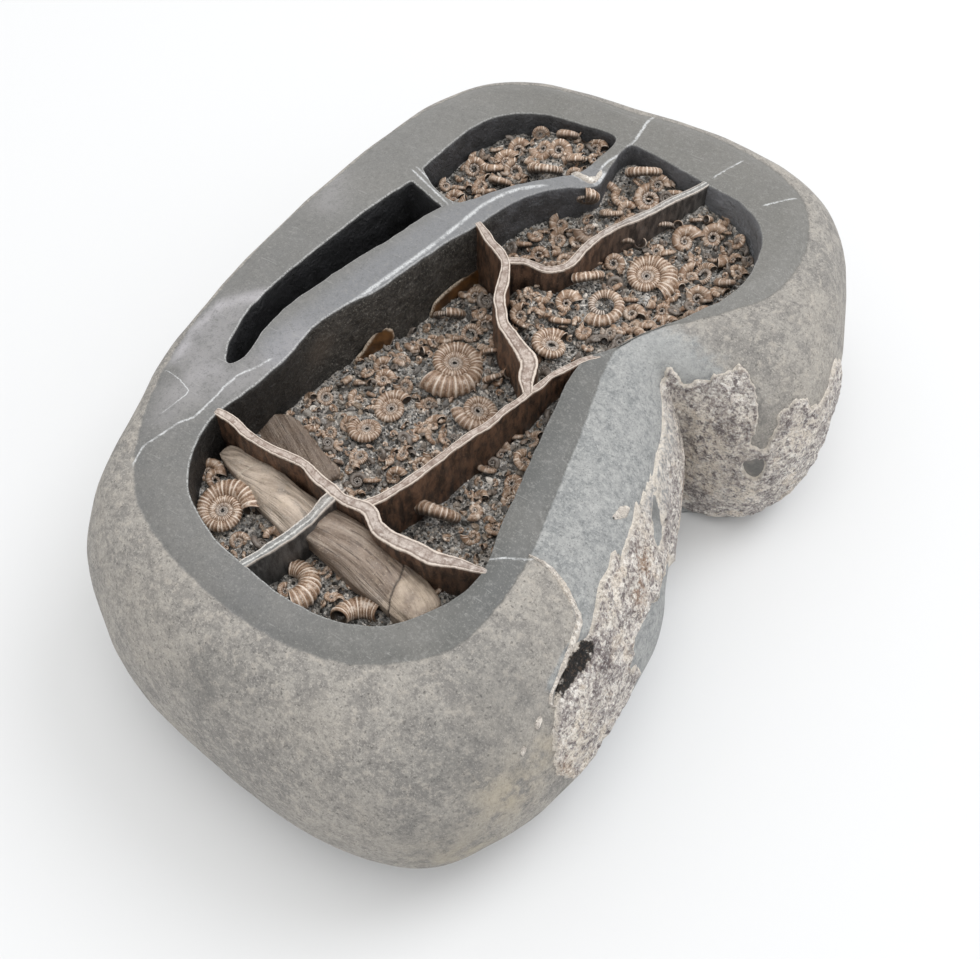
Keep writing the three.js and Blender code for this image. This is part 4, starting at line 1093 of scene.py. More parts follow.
def weld(mesh):
    """Joins points that lie on one another, so that seams are closed."""
    whole = bmesh.new()
    whole.from_mesh(mesh)
    bmesh.ops.remove_doubles(whole, verts=whole.verts, dist=0.00001)
    whole.to_mesh(mesh)
    whole.free()


def linked(name, data):
    """An object with this data, in the scene."""
    made = bpy.data.objects.new(name, data)
    bpy.context.scene.collection.objects.link(made)
    return made


def riding(name, mesh):
    """A piece that moves with the slab."""
    piece = linked(name, mesh)
    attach(piece, "root")
    return piece


def make_piece(name, shape, material, nodes=(), uv=None):
    """A smooth piece from a shape: its points, faces and fields."""
    points, faces, fields = shape
    mesh = new_mesh(name, in_frame(points), faces, fields)
    if uv is not None:
        corners = np.zeros(len(mesh.loops), np.int32)
        mesh.loops.foreach_get("vertex_index", corners)
        layer = mesh.uv_layers.new(name="grain")
        layer.data.foreach_set("uv", np.asarray(uv, np.float32)[corners].ravel())
    weld(mesh)
    mesh.polygons.foreach_set("use_smooth", np.ones(len(mesh.polygons), bool))
    mesh.materials.append(material)
    mesh.update()
    piece = riding(name, mesh)
    if nodes:
        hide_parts(*nodes)


# ---------------------------------------------------------------- the stone
def stone_rings():
    """The nodule's outside, from the rim round the shoulder and belly to the foot."""
    belly, foot = (catmull_rom(line, True, COLUMNS) for line in (BELLY_LINE, FOOT_LINE))
    rim_heights = top_height(RIM) - RIM_FALL
    rings = []
    for degrees in np.linspace(0, 90, SHOULDER_RINGS):
        angle = math.radians(degrees)
        z = BELLY + (rim_heights - BELLY) * math.cos(angle)
        rings.append(raised(RIM + (belly - RIM) * math.sin(angle), z))
    end = math.radians(FOOT_END)
    for degrees in np.linspace(0, FOOT_END, FOOT_RINGS)[1:]:
        angle = math.radians(degrees)
        inward = (1 - math.cos(angle)) / (1 - math.cos(end))
        z = BELLY * (1 - math.sin(angle) / math.sin(end))
        rings.append(raised(belly + (foot - belly) * inward, z))
    return rings


def weather(rings):
    """Gentle unevenness of the natural outside, none at the rim and on the ground."""
    result = [rings[0]]
    last = len(rings) - 1
    for index, ring in enumerate(rings[1:], 1):
        swell = lumps(ring, (26, 3.1, 0.9), (9, 7.7, 0.3))
        for *place, spread, depth in DENTS:
            swell -= depth * bell(distance_to(ring, place), spread)
        fade = min(index / 5, (last - index) / 3, 1)
        result.append(ring + raised(outward(ring[:, :2])) * (swell * fade)[:, None])
    return result


def wall_rows(loop, floor, pitting):
    """A hollow's wall from its rounded edge at the top down to its floor."""
    normal = outward(loop)
    loop = loop + normal * lumps(raised(loop), (4, 6.1, 0.3))[:, None]
    top = ground_height(loop)
    rows = []
    for turn in BEVEL_TURNS:
        angle = turn * math.pi / 2
        xy = loop + normal * (BEVEL * (1 - math.sin(angle)))
        rows.append(raised(xy, ground_height(xy) - BEVEL * (1 - math.cos(angle))))
    count = int((TOP - floor) / WALL_STEP)
    for step in range(1, count + 1):
        rows.append(raised(loop, top - BEVEL - (top - BEVEL - floor) * step / count))
    for index, row in enumerate(rows[3:-1], 3):
        rough = lumps(row, (2.6, 1.3, 0.5), (14, 5.2, 0.6), (6, 9.4, 0.4))
        fade = min((index - 2) / 4, 1)
        row[:, :2] -= normal * (np.abs(rough) * fade * pitting)[:, None]
    return rows


def wall_fields(number, rows):
    """What the finish reads on a hollow's wall: painted deep shade, which on the main one lies at its
    front alone.
    """
    row = np.repeat(np.arange(len(rows)), len(rows[0]))
    x, y, _ = np.vstack(rows).T
    black = (smooth_step(-x - y, 60, 90), 0.5, 1.0)[number]
    slate = 1 if number else smooth_step(x + y, 10, 40)
    return {"below_rim": GROUND_TOP, "wall": smooth_step(row, 1.5, 3.5),
            # lip: the rows of the bevel, which get a painted highlight
            "lip": (row == 1) | (row == 2), "slate": slate, "black": black}


def painted_sheen_field(points):
    """How strong the painted sheen of the polish is, on the flat spot beside the slot and on the soft
    marks.
    """
    flat = points[:, :2]
    deep = nearest_distance(flat, even(FACET, 0.5, True)) * np.where(inside(flat, FACET), 1, -1)
    deep = deep + lumps(points, (4, 2, 1.5))
    facet = smooth_step(deep, -2, 3) * 0.3
    facet += bell(nearest_distance(flat, even(HIGHLIGHT_BAND, 0.5)), 2.2) * 0.65
    for strength, spread, line in SHEEN_MARKS:
        facet += bell(nearest_distance(flat, even(line, 1.0)), spread) * strength
    return np.minimum(facet, 1)


def dent_shade_field(points):
    """1 in the depth of the hollow beside the crust, where its shade is painted."""
    deep = sum(bell(distance_to(points, place), spread) for *place, spread, _ in DENTS)
    return np.clip(deep * 2.4 - 0.5, 0, 1)


def line_fields(flat, line):
    """The signed distance to a line, and what fades the line out at its ends."""
    signed, along = beside(flat, line)
    ends = np.minimum(along, lengths_along(line)[-1] - along)
    return signed, np.clip(ends * 2, 0, 1)


def place_fields(points, slate):
    """What the finish reads on the stone from where the points lie."""
    x, y, z = points.T
    flat = points[:, :2]
    worn = np.minimum(beside(flat, WEATHERED_LINE)[0], -beside(flat, FRECKLED_LINE)[0] / 8)
    lower = smooth_step(-y, 80, 88) * smooth_step(70 - z, 0, 5)
    narrow = [bell(distance_to(flat, place), NARROW_SPREAD) for place in NARROW]
    fields = {
        "worn": worn * (1 - lower) - 6 * lower,
        # side and back: where the ground top gets painted light, towards the left and towards the
        # back
        "side": smooth_step(-x - 0.35 * y + lumps(points, (20, 4, 18)), -10, 55),
        # waist: painted shade where the rim narrows
        "back": smooth_step(y, -70, 90), "waist": np.max(narrow, axis=0),
        # ridge: painted bluish reflection along the ridge
        "ridge": 1 - smooth_step(np.abs(beside(flat, RIDGE_LINE)[0]), 5, 12),
        "bright": slate * smooth_step(x + 0.6 * y, 60, 100),
        "taupe": bell(distance_to(points, TAUPE[:3]), TAUPE[3], 4),
        "facet": painted_sheen_field(points), "hole": dent_shade_field(points),
        "shaded": spots(points, SHADED, 6, 3), "sandy": spots(points, SANDY, 6, 1),
        # pale: painted light in the concave waist
        "pale": spots(points, LIT_SPOTS, 6, 5),
    }
    for name, (_, line) in RIM_VEINS.items():
        fields[name], fields[name + "_end"] = line_fields(flat, line)
    return fields


def build_stone():
    """The nodule: outside, underside, hollows and ground top, joined when it is welded."""
    rings = weather(stone_rings())
    columns = len(rings[0])
    stone = Shape("below_rim", "wall", "lip", "slate", "black")
    steps = np.linalg.norm(np.diff(rings, axis=0), axis=2)
    way = np.vstack([np.zeros(columns), np.cumsum(steps, axis=0)])
    outside = [face[::-1] for face in strip(len(rings), columns)]
    stone.add(np.vstack(rings), outside, below_rim=way.ravel())
    made, triangles = fill(rings[-1][:, :2])
    stone.add(raised(made), triangles[:, ::-1], below_rim=UNDERSIDE)
    edges = []
    for number, (outline, floor, pitting) in enumerate(HOLLOWS):
        rows = wall_rows(smooth_loop(outline, WALL_STEP), floor, pitting)
        edges.append(rows[0][:, :2])
        stone.add(np.vstack(rows), strip(len(rows), len(rows[0])), **wall_fields(number, rows))
        made, triangles = fill(rows[-1][:, :2])
        stone.add(raised(made, floor), triangles, below_rim=GROUND_TOP, wall=1, black=1)
    rim = rings[0][:, :2]
    made, triangles = fill(rim, edges, GROUND_STEP)
    to_rim = nearest_distance(made, rim)
    stone.add(raised(made, ground_height(made)), triangles, below_rim=-to_rim)
    points, faces, fields = stone.joined()
    fields.update(place_fields(points, fields["slate"]))
    return points, faces, fields


# ---------------------------------------------------------------- the fossils
def build_bed(outline):
    """The rough floor of a hollow, reaching a little into its walls, and how far each point lies in a
    dip, where shade is painted.
    """
    loop = smooth_loop(outline, BED_EDGE_STEP)
    loop = loop + outward(loop) * BED_REACH
    made, triangles = fill(loop, (), BED_STEP, 5)
    lump = lumps(raised(made), (6.0, 1.1, 1.5), (2.6, 6.3, 1.3))
    z = bed_height(made) + lump * 0.8
    z += np.random.default_rng(4).uniform(-0.16, 0.16, len(made))
    return made, z, triangles, smooth_step(-lump, 0.2, 1.4), loop


def coil(width, whorls, ribs, sides, per_rib, strength, growth, flare=0.0):
    """A ribbed spiral tube lying flat: points, faces, and the fields that its finish reads."""
    radius = width / (1 + growth ** -0.5)
    shift = radius * (1 - growth ** -0.5) / 2
    steps = max(int(round(whorls * ribs * per_rib)), 6)
    turn = np.linspace(0, whorls, steps + 1)
    outer = radius * growth ** -turn
    inner = outer / growth * 0.94
    outer = outer * (1 + flare * smooth_step(0.4 - turn, 0, 0.3))
    middle, half = (outer + inner) / 2, (outer - inner) / 2
    section = np.arange(sides) * 2 * math.pi / sides
    out = np.cos(section)
    swing = ribs * turn[:, None] + 0.3 * (1 - out[None, :]) ** 2 / 4
    uneven = 0.75 + 0.25 * np.sin(turn * ribs * 2.3 + width)[:, None]
    wave = (0.5 + 0.5 * np.cos(2 * math.pi * swing)) ** 2.2 * uneven
    reach = 0.3 + 0.7 * (0.5 + 0.5 * out)
    size = half[:, None] * (1 + strength * (wave - 0.35) * reach[None, :])
    from_axis = middle[:, None] + size * out[None, :]
    height = size * np.sin(section)[None, :] * 0.95
    angle = turn[:, None] * 2 * math.pi
    rings = np.stack([from_axis * np.cos(angle), from_axis * np.sin(angle), height], axis=2)

    # each broken end is a hollow mouth
    rows = list(rings)
    for end, beside_it in ((0, 1), (-1, -2)):
        centre = rings[end].mean(axis=0)
        into = rings[beside_it].mean(axis=0) - centre
        into /= np.linalg.norm(into)
        lip = centre + (rings[end] - centre) * 0.8
        deep = centre + (rings[end] - centre) * 0.6 + into * half[end] * 0.8
        rows = [deep, lip] + rows if end == 0 else rows + [lip, deep]
    points = np.vstack(rows) - np.array([shift, 0, 0])
    blank = np.zeros((2, sides))
    # the upper side of each whorl, read as lit: the finish paints shade where it is low
    upper = np.tile(np.sin(section) * 0.5 + 0.5, (steps + 1, 1))
    age = smooth_step(turn / max(whorls, 1.6), 0.3, 0.8)
    age = np.repeat(np.r_[age[0], age[0], age, age[-1], age[-1]], sides)
    return points, tube(len(rows), sides), {"rib": np.vstack([blank, wave, blank]).ravel(),
                                            "age": age,
                                            "lit": np.vstack([blank, upper, blank]).ravel()}


def lay(points, place, z=None):
    """Turns a coil to its facing, tips it and sets it on the bed."""
    x, y, width, facing, tilt, azimuth = place[:6]
    azimuth = math.radians(azimuth)
    axis = Vector((-math.sin(azimuth), math.cos(azimuth), 0))
    turn = (Matrix.Rotation(math.radians(tilt), 3, axis)
            @ Matrix.Rotation(math.radians(facing), 3, "Z"))
    if z is None:
        rise = SHELL_RISE + TIPPED_RISE * math.sin(math.radians(tilt))
        z = bed_height([[x, y]])[0] + rise * width
    return points @ np.array(turn).T + np.array([x, y, z])


def pebble(width, seed, sides=5, long=1.0, flat=0.4):
    """A broken grain of a few faces."""
    points = []
    sizes = (0.75, 1.0, 0.6) if sides < 6 else (0.45, 0.85, 1.0, 0.8, 0.4)
    for row, size in enumerate(sizes):
        for side in range(sides):
            angle = 2 * math.pi * side / sides + row * 0.4
            wobble = 1 + 0.35 * noise.noise(Vector((side * 1.7, row * 2.3, seed)))
            reach = width / 2 * size * wobble
            level = (row - (len(sizes) - 1) / 2) * 2 / (len(sizes) - 1)
            bulge = 0.25 * width * (long - 1) * math.cos(angle) ** 2
            points.append((reach * math.cos(angle) * long, reach * math.sin(angle),
                           width * level * flat + bulge))
    return np.array(points), tube(len(sizes), sides), {}


def build_vein(vein):
    """A standing sheet of calcite, rough on its sides, ground flat on top."""
    line = catmull_rom(vein["line"], False, 8)
    share = np.linspace(0, 1, len(vein["halves"]))
    halves = np.interp(np.linspace(0, 1, len(line)), share, vein["halves"])
    whole = even(np.column_stack([line, halves]), VEIN_STEP)
    line, half = whole[:, :2], whole[:, 2]
    along = unit(np.gradient(line, axis=0))
    across = np.column_stack([-along[:, 1], along[:, 0]])
    level = raised(line)
    half = half * (1 + lumps(level, (5, 2.5, 0.25), (1.2, 4.5, 0.06)))
    shift = lumps(level, (7, 8.5, 0.5), (2.2, 3.5, 0.1))

    # beyond the hollow it thins out to a line on the ground top
    loop = counterclockwise(MAIN_HOLLOW)
    beyond = np.where(inside(line, loop), 0, nearest_distance(line, even(loop, 0.5, True)))
    thin = bell(beyond, 1.5)
    half = half * (0.15 + 0.85 * thin)
    top = ground_height(line) + VEIN_PROUD * thin - vein["low"] * thin - 0.4 * (1 - thin)

    # up one side, over the top and down the other
    downs = np.r_[np.linspace(0.3, 3, 4), np.linspace(4.4, TOP - vein["floor"], 16)]
    profile = [(-1, d) for d in downs[::-1]] + VEIN_TOP + [(1, d) for d in downs]
    columns = len(profile)
    rows = []
    for i, point in enumerate(line):
        for part, down in profile:
            side = part * half[i] + shift[i] * thin[i]
            rows.append((*(point + across[i] * side), top[i] - down))
    points = np.array(rows)
    shares, depth = np.tile(profile, (len(line), 1)).T
    bulge = lumps(points, (4.5, 3.3, 0.45), (1.6, 9.1, 0.18))
    amount = np.clip(depth / 3, 0, 1) * bulge * np.repeat(thin, columns)
    points[:, :2] += np.repeat(across, columns, axis=0) * (amount * np.sign(shares))[:, None]
    faces = [face[::-1] for face in tube(len(line), columns)]
    grey = np.interp(np.linspace(0, 1, len(line)), np.linspace(0, 1, len(vein["grey"])), vein["grey"])
    grey = np.repeat(np.clip(grey + 0.6 - 0.6 * thin, 0, 1), columns)
    return points, faces, {"across": shares, "depth": depth, "grey": grey}


def build_log(log):
    """A piece of trunk lying along its sections, flattened, fluted and cracked across."""
    sections = np.array(log["sections"], float)
    smooth = even(catmull_rom(sections, False, 10), LOG_STEP)
    lengths = lengths_along(smooth[:, :3])
    whole = lengths[-1]
    direction = sections[-1, :2] - sections[0, :2]
    direction /= np.linalg.norm(direction)
    across = np.array([-direction[1], direction[0], 0])
    turn = np.arange(LOG_SIDES) * 2 * math.pi / LOG_SIDES
    circle = np.column_stack([np.cos(turn), np.sin(turn)])
    squared = np.sign(circle) * np.abs(circle) ** LOG_SQUARE
    crack_at, slant = log["crack"]
    points, uv, cracks = [], [], []
    for at, (x, y, z, wide, high) in zip(lengths, smooth):
        flutes = roughness_at(raised(circle * 3.2, at * 0.05), 1, 2)
        lump = roughness_at(raised(circle * 1.3, at * 0.1), 1, 5)
        away = at - crack_at * whole - slant * circle[:, 0] * wide - lump * 0.5
        crack = bell(away, 0.3)
        end = min(at, whole - at)
        size = (1 + 0.07 * flutes + 0.13 * lump) * (1 + 0.035 * np.tanh(away))
        size = size * (1 - 0.06 * crack) * (0.82 + 0.18 * min(end / 1.8, 1) ** 0.5)
        points.append(np.array([x, y, z]) + across * (wide * size * squared[:, 0])[:, None]
                      + np.array([0, 0, 1]) * (high * size * squared[:, 1])[:, None])
        uv.append(np.column_stack([turn * wide, np.full(LOG_SIDES, at)]))
        cracks.append(crack)
    share = np.repeat(lengths / whole, LOG_SIDES)
    fields = {"crack": np.concatenate(cracks), "shade": np.full(len(share), log["dull"]),
              "flank": np.tile(smooth_step(0.5 - circle[:, 1], 0, 0.9), len(lengths)),
              "tip": smooth_step(share, crack_at, crack_at + 0.03) * log["dull"]}
    return (np.vstack(points), tube(len(smooth), LOG_SIDES), fields), np.vstack(uv)


def build_plate(plate, ragged):
    """A thin bowed plate with an uneven edge, leaning on what is behind it."""
    thick = plate["thick"]
    edge = smooth_loop(plate["edge"], PLATE_STEP)
    edge = edge + outward(edge) * lumps(raised(edge), (1.6, 3, ragged))[:, None]
    made, triangles = fill(edge, (), PLATE_STEP)
    to_edge = nearest_distance(made, edge)
    bow = -plate["bow"] * (made[:, 1] / 4) ** 2
    level = raised(made)
    rough = lumps(level, (3, 1.7, 0.22)) + lumps(level * [0.3, 1, 1], (1.1, 4, 0.1))
    thin = thick / 2 * np.clip(to_edge / 0.7 + 0.35, 0, 1)
    whole = Shape("crack", "shade", "rim")
    whole.add(raised(made, bow + thin + rough), triangles, shade=1, rim=bell(to_edge, 0.5))
    whole.add(raised(made, bow - thin), triangles[:, ::-1], shade=1, rim=bell(to_edge, 0.5))
    points, faces, fields = whole.joined()
    spin = (Matrix.Rotation(math.radians(plate["turn"]), 3, "Z")
            @ Matrix.Rotation(math.radians(plate["lean"]), 3, "X"))
    placed = points @ np.array(spin).T + np.array([plate["x"], plate["y"], plate["z"]])
    shape = (placed, faces + band(len(edge), len(made)), fields)
    return shape, np.column_stack([points[:, 1], points[:, 0]])


# ---------------------------------------------------------------- the crust
def build_crust(tree):
    """A rough calcite skin laid on the rounded waist."""
    facing = math.radians(CRUST_FACING)
    look = np.array([math.cos(facing), math.sin(facing), 0])
    sideways = np.array([-math.sin(facing), math.cos(facing), 0])
    outline = smooth_loop(CRUST_EDGE, CRUST_STEP, 6)
    ragged = lumps(raised(outline), (3.2, 2, 1.2), (1.1, 7, 0.7))
    outline = outline + outward(outline) * ragged[:, None]
    holes = [smooth_loop(hole, CRUST_STEP, 6) for hole in CRUST_HOLES]
    made, triangles = fill(outline, holes, CRUST_STEP, 9)
    to_edge = nearest_distance(made, np.vstack([outline, *holes]))
    base, normals = np.zeros((2, len(made), 3))
    for i, (across, z) in enumerate(made):
        start = sideways * across + look * CRUST_LOOK_FROM + np.array([0, 0, z])
        base[i], normals[i] = tree.ray_cast(Vector(start), Vector(-look))[:2]
    relief = lumps(base, (7, 2, 0.6), (2.4, 5, 0.7), (1.0, 8, 0.4))
    lip = bell(to_edge - 1.0, 0.8) * 0.3
    lift = np.where(to_edge < 0.1, -CRUST_SINK, CRUST_THICK * 0.55 + relief * 0.8 + lip)
    points = base + normals * lift[:, None]
    fields = {"rim": bell(to_edge, 1.1), "hole": dent_shade_field(points),
              "streak": 1 - smooth_step(np.abs(beside(base[:, :2], FIBRES)[0]), 2.5, 6)}
    for name, rows in {"smudge": CRUST_DARK, "stain": CRUST_BROWN, "cream": CRUST_PALE_AND_LIT}.items():
        fields[name] = spots(points, [(*row, 1.0) for row in rows], 3, 2)
    return points, triangles, fields


def build_ribbon(tree, path, half):
    """A thin raised strip of the same skin, following a path on the stone."""
    line = even(catmull_rom(path, False, 8), 0.5)
    along = unit(np.gradient(line, axis=0))
    share = np.linspace(0, 1, len(line))
    wide = half * np.clip(4 * share * (1 - share), 0.05, 1) ** 0.5
    wide = wide * (1 + lumps(line, (3, 4, 0.5), (1.2, 2, 0.3)))
    rows = []
    for place, way, reach in zip(line, along, wide):
        normal = tree.find_nearest(Vector(place))[1]
        across = np.cross(normal, way)
        across /= np.linalg.norm(across)
        for part in RIBBON_PARTS:
            spot, normal = tree.find_nearest(Vector(place + across * part * reach))[:2]
            up = RIBBON_LIFT * (1 - abs(part) ** 3) - 0.25 * (abs(part) == 1)
            rows.append(np.array(spot) + np.array(normal) * up)
    points = np.array(rows)
    points += lumps(points, (0.9, 3, 0.1))[:, None]
    faces = strip(len(line), len(RIBBON_PARTS), False)
    return points, faces, {"rim": np.full(len(points), 0.7)}


# ================================================================ small things strewn
class Recipe:
    """A geometry node tree with named inputs."""

    def __init__(self, name):
        self.tree = bpy.data.node_groups.new(name, "GeometryNodeTree")
        self.tree.is_modifier = True
        for way in ("INPUT", "OUTPUT"):
            self.tree.interface.new_socket(
                "Geometry", in_out=way, socket_type="NodeSocketGeometry")
        self.inputs = self.tree.nodes.new("NodeGroupInput")
        self.output = self.tree.nodes.new("NodeGroupOutput")

    def ask(self, name, kind="NodeSocketFloat"):
        self.tree.interface.new_socket(name, in_out="INPUT", socket_type=kind)
        return self.inputs.outputs[name]

    def node(self, kind, settings=None, sockets=None, out=0):
        made = self.tree.nodes.new(kind)
        for name, value in (settings or {}).items():
            setattr(made, name, value)
        for name, value in (sockets or {}).items():
            if isinstance(value, bpy.types.NodeSocket):
                self.tree.links.new(value, made.inputs[name])
            else:
                made.inputs[name].default_value = value
        return made.outputs[out]

    def chance(self, kind, sockets, out=0):
        return self.node("FunctionNodeRandomValue", {"data_type": kind}, sockets, out)


def strewing_recipe():
    """Shells or grit strewn over a bed, each turned, tipped and sized by chance."""
    r = Recipe("strewn")
    spacing, low, high, tip, lift = (
        r.ask(name) for name in ("Spacing", "Smallest", "Largest", "Tip", "Lift"))
    seed = r.ask("Seed", "NodeSocketInt")
    kinds = r.ask("Kinds", "NodeSocketCollection")
    finish = r.ask("Finish", "NodeSocketMaterial")
    room = r.node("GeometryNodeInputNamedAttribute", {"data_type": "FLOAT"}, {"Name": "room"})
    points = r.node("GeometryNodeDistributePointsOnFaces", {"distribute_method": "POISSON"}, {
        "Mesh": r.inputs.outputs["Geometry"], "Distance Min": spacing, "Density Max": 4e6,
        "Density Factor": room, "Seed": seed})
    pool = r.node("GeometryNodeCollectionInfo", {}, {
        "Collection": kinds, "Separate Children": True, "Reset Children": True})
    turned = r.chance("FLOAT_VECTOR", {
        "Min": (0, 0, 0), "Max": (0, 0, 2 * math.pi), "Seed": seed})
    lean = r.node("ShaderNodeCombineXYZ", {}, {"X": tip, "Y": tip})
    back = r.node("ShaderNodeVectorMath", {"operation": "SCALE"}, {"Vector": lean, "Scale": -1.0})
    tipped = r.chance("FLOAT_VECTOR", {
        "Min": back, "Max": lean, "ID": r.node("GeometryNodeInputIndex")})
    rotation = r.node("FunctionNodeRotateEuler", {"rotation_type": "EULER", "space": "OBJECT"}, {
        "Rotation": tipped, "Rotate By": turned})
    size = r.chance("FLOAT", {2: low, 3: high, "Seed": seed}, 1)
    strewn = r.node("GeometryNodeInstanceOnPoints", {}, {
        "Points": points, "Instance": pool, "Pick Instance": True, "Rotation": rotation,
        "Scale": size})
    lifted = r.node("GeometryNodeTranslateInstances", {}, {
        "Instances": strewn, "Translation": r.node("ShaderNodeCombineXYZ", {}, {"Z": lift}),
        "Local Space": False})
    toned = r.node("GeometryNodeStoreNamedAttribute",
                   {"data_type": "FLOAT", "domain": "INSTANCE"},
                   {"Geometry": lifted, "Name": "tone", "Value": r.chance("FLOAT", {"Seed": 7}, 1)})
    real = r.node("GeometryNodeRealizeInstances", {}, {"Geometry": toned})
    done = r.node("GeometryNodeSetMaterial", {}, {"Geometry": real, "Material": finish})
    r.tree.links.new(done, r.output.inputs["Geometry"])
    return r.tree


def kind_collection(name, rows, smooth):
    """Shapes for strewing, kept out of the scene."""
    makers = {"curl": coil, "chip": pebble}
    pool = bpy.data.collections.new(name)
    for number, (maker, *sizes) in enumerate(rows):
        points, faces, fields = makers[maker](*sizes)
        mesh = new_mesh(f"{name}_{number}", points / 1000, faces, fields)
        mesh.polygons.foreach_set("use_smooth", np.full(len(mesh.polygons), smooth))
        pool.objects.link(bpy.data.objects.new(mesh.name, mesh))
    return pool


def strew(name, bed, tree, inputs):
    """Strews a kind over a bed and keeps the result as a plain mesh."""
    carrier = linked(name + "_bed", bed)
    modifier = carrier.modifiers.new("strewn", "NODES")
    modifier.node_group = tree
    for socket in tree.interface.items_tree:
        if socket.name in inputs:
            value = inputs[socket.name]
            modifier[socket.identifier] = value / 1000 if socket.name in LENGTHS else value
    bpy.context.view_layer.update()
    ready = carrier.evaluated_get(bpy.context.evaluated_depsgraph_get())
    mesh = bpy.data.meshes.new_from_object(ready)
    bpy.data.objects.remove(carrier)
    mesh.name = name
    riding(name, mesh)


def room_on(points, extra, blocked):
    """1 where a small shell fits between the veins, the logs and what is blocked already."""
    free = np.ones(len(points))
    for vein in VEINS.values():
        free[np.abs(beside(points, vein["line"])[0]) < vein["half"] + extra] = 0
    for log in LOGS.values():
        middle = [row[:2] for row in log["sections"]]
        free[np.abs(beside(points, middle)[0]) < LOG_ROOM + extra] = 0
    for x, y, radius in [*blocked, *SHEET_SPOTS]:
        free[np.hypot(points[:, 0] - x, points[:, 1] - y) < radius] = 0
    return free


def sand_field(made):
    """1 in the middle of the sandy spot."""
    away = np.hypot(made[:, 0] - SAND["x"], (made[:, 1] - SAND["y"]) * SAND["squeeze"])
    return np.clip(1 - away / SAND["reach"], 0, 1)


# ================================================================ making everything
limestone = limestone_finish()
bed_stone = bed_finish()
shell_brown = ammonite_finish("ammonite", "#f4e6d7", "#b1967f", "#56412f", 0.66)
shell_small = ammonite_finish("small_ammonite", "#efe0d0", "#b39a84", "#4a3c32", 0.6)
calcite = vein_finish()
wood = wood_finish()
flake_brown = flake_finish()
crust_skin = crust_finish()
grit = grit_finish()
strewn_looks = {"shells": (shell_small, "ammonite"), "curls": (shell_small, "ammonite"),
                "bits": (grit, "limestone"), "grit": (grit, "limestone")}
strewing = strewing_recipe()
strewn_kinds = {kind: kind_collection(f"{kind}_kinds", rows, kind in ("shells", "curls"))
                for kind, rows in STREWN_KINDS.items()}


def make_bed(name, outline, seed):
    """A hollow's bed with all that is strewn over it."""
    made, z, triangles, low, edge = build_bed(outline)
    under, under_faces = fill(edge)
    bed = Shape("sandy", "low")
    # low marks the bed's dips, which get painted shade
    bed.add(raised(made, z), triangles, sandy=sand_field(made), low=low)
    bed.add(raised(under, BED_UNDERSIDE), under_faces[:, ::-1], low=1)
    points, faces, fields = bed.joined()
    make_piece(f"fossil_bed_{name}", (points, faces + band(len(edge), len(made)), fields),
               bed_stone, ["nodule"])

    loop = counterclockwise(outline)
    within = inside(made, loop)
    inner = within & (nearest_distance(made, even(loop, 1.0, True)) > WALL_ROOM)
    packed = smooth_step(made[:, 0] * 0.5 + made[:, 1], 0, 40) * 0.65 + 0.35
    large = [(x, y, width * 0.5) for x, y, width, *_ in LARGE_SHELLS]
    middle = [(x, y, width * 0.4) for x, y, width, *_ in MIDDLE_SHELLS]
    near_all = [(x, y, radius + 1.4) for x, y, radius in large + middle]
    curls = inner * room_on(made, 1.0, large)
    rooms = {"shells": inner * packed * room_on(made, 2.4, near_all), "curls": curls,
             "bits": curls, "grit": within * room_on(made, 0.2, [])}
    for kind, room in rooms.items():
        material, slot = strewn_looks[kind]
        carrier = new_mesh(f"{name}_{kind}", in_frame(raised(made, z)), triangles,
                           {"room": room, "low": low})
        strew(f"{kind}_{name}", carrier, strewing,
              {**STREWN[kind], "Seed": seed, "Kinds": strewn_kinds[kind], "Finish": material})


def make_large_shells():
    """Those that stand out, each over its own solid."""
    for number, row in enumerate(LARGE_SHELLS, 1):
        width, whorls, growth = row[2], row[6], (*row[7:], SHELL_GROWTH)[0]
        big = width > BIG_SHELL
        points, faces, fields = coil(
            width, whorls, ribs=34 if big else 28, sides=16, per_rib=5, strength=0.15,
            growth=growth, flare=0.16 if big and whorls > 3 else 0.0)
        fields["tone"] = np.full(len(points), (number * 0.37) % 0.5)
        node = f"ammonite_{number:02d}"
        make_piece(f"{node}_shell", (lay(points, row), faces, fields), shell_brown,
                   [node])


def make_middle_shells():
    """The smaller ones, as one piece, and the one under the ridge's tip."""
    shells = Shape("rib", "age", "lit", "tone")
    for number, row in enumerate(MIDDLE_SHELLS):
        width = row[2] * (MIDDLE_SCALE if row[2] < MIDDLE_SCALED else 1)
        points, faces, fields = coil(
            width, row[6] + 0.6, ribs=19, sides=10, per_rib=2.4, strength=0.13,
            growth=MIDDLE_GROWTHS[number % 4])
        shells.add(lay(points, row), faces, tone=(number * 0.61) % 0.75, **fields)
    make_piece("middle_ammonites", shells.joined(), shell_brown)
    points, faces, fields = coil(
        TIP_SHELL[2], TIP_SHELL[6], ribs=22, sides=14, per_rib=5, strength=0.13, growth=3.6)
    fields["tone"] = np.zeros(len(points))
    make_piece("ridge_tip_shell", (lay(points, TIP_SHELL, TIP_SHELL_HEIGHT), faces, fields),
               shell_brown)


def make_crust(stone):
    """The crust and its strips, laid on the stone's own surface."""
    tree = BVHTree.FromPolygons([Vector(p) for p in stone[0]], stone[1])
    nodes = ["calcite_crust"]
    make_piece("calcite_crust_rough", build_crust(tree), crust_skin, nodes)
    for number, (half, path) in enumerate(RIBBONS):
        make_piece(f"crust_strip_{number}", build_ribbon(tree, path, half), crust_skin,
                   nodes)


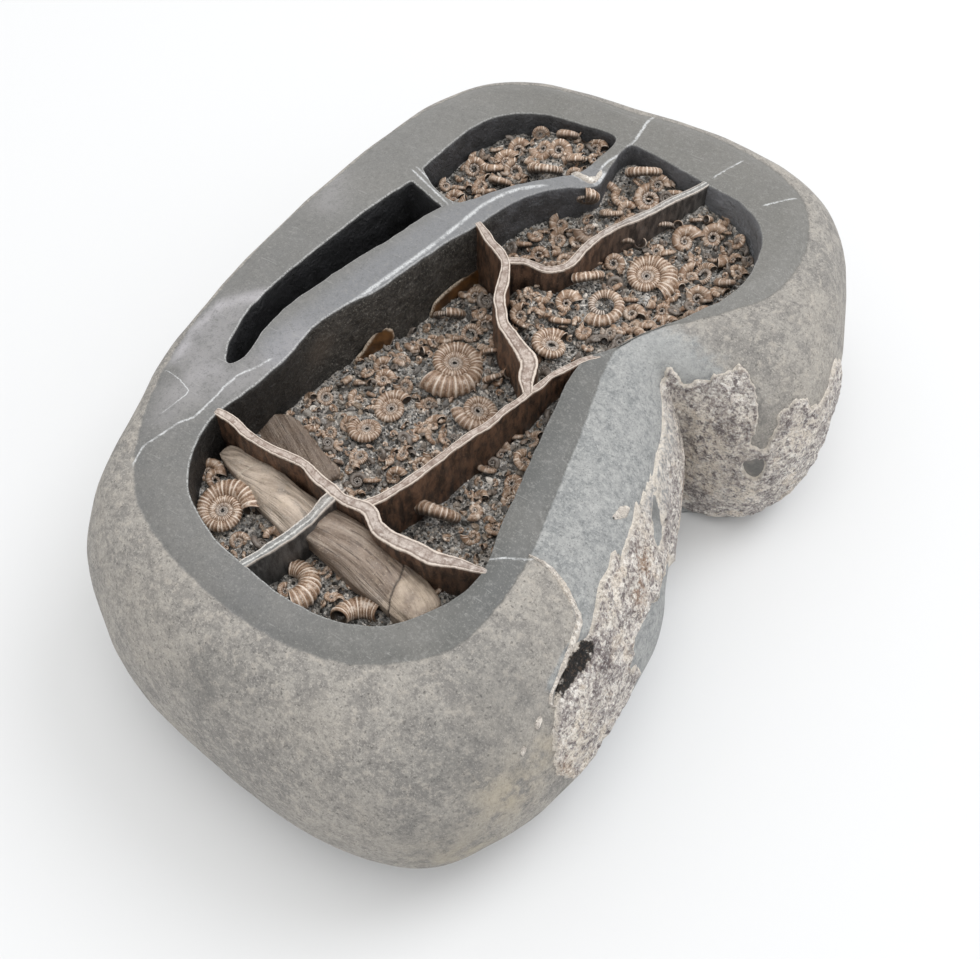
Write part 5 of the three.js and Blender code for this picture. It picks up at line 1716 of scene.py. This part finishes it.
nodule = build_stone()
make_piece("nodule_stone", nodule, limestone, ["nodule"])
make_bed("main", MAIN_HOLLOW, 3)
make_bed("back", BACK_HOLLOW, 4)
make_large_shells()
make_middle_shells()
for name, vein in VEINS.items():
    make_piece(f"{name}_calcite", build_vein(vein), calcite, [name])
for name, log in LOGS.items():
    shape, uv = build_log(log)
    make_piece(f"{name}_grained", shape, wood, [name], uv)
shape, uv = build_plate(WOOD_SHEET, 0.5)
make_piece("wood_sheet_grained", shape, wood, ["wood_sheet"], uv)
for name, plate in FLAKES.items():
    shape, uv = build_plate({**FLAKE, **plate}, 0.35)
    make_piece(f"{name}_glossy", shape, flake_brown, [name], uv)
make_crust(nodule)


# ================================================================ floor, camera and light
def make_floor():
    f = Finish("floor")
    f.finish(tint("#e0e1e2"), 0.9, None, 0.1)
    corners = np.array([(-1, -1, 0), (1, -1, 0), (1, 1, 0), (-1, 1, 0)]) * FLOOR_REACH / 1000
    mesh = new_mesh("floor", corners, [(0, 1, 2, 3)], {})
    mesh.materials.append(f.material)
    linked("floor", mesh)


def point_at(item, place, aim):
    item.location = place
    item.rotation_euler = (Vector(aim) - Vector(place)).to_track_quat("-Z", "Y").to_euler()


def make_camera():
    data = bpy.data.cameras.new("camera")
    data.sensor_width = CAMERA["sensor"]
    data.lens = CAMERA["lens"]
    camera = linked("camera", data)
    point_at(camera, Vector(CAMERA["eye"]) / 1000, Vector(CAMERA["aim"]) / 1000)
    bpy.context.scene.camera = camera


def make_lamp(name, place, aim, width, power, colour):
    data = bpy.data.lights.new(name, "AREA")
    data.shape = "DISK"
    data.size = width / 1000
    data.energy = power
    data.color = tint(colour)[:3]
    point_at(linked(name, data), [p / 1000 for p in place], [a / 1000 for a in aim])


def make_daylight():
    world = bpy.data.worlds.new("studio")
    world.use_nodes = True
    sky = world.node_tree.nodes["Background"].inputs
    sky["Color"].default_value = (1, 1, 1, 1)
    sky["Strength"].default_value = DAYLIGHT
    bpy.context.scene.world = world
    bpy.context.scene.view_settings.view_transform = "Standard"


make_floor()
make_camera()
for name, lamp in LAMPS.items():
    make_lamp(name, *lamp)
make_daylight()
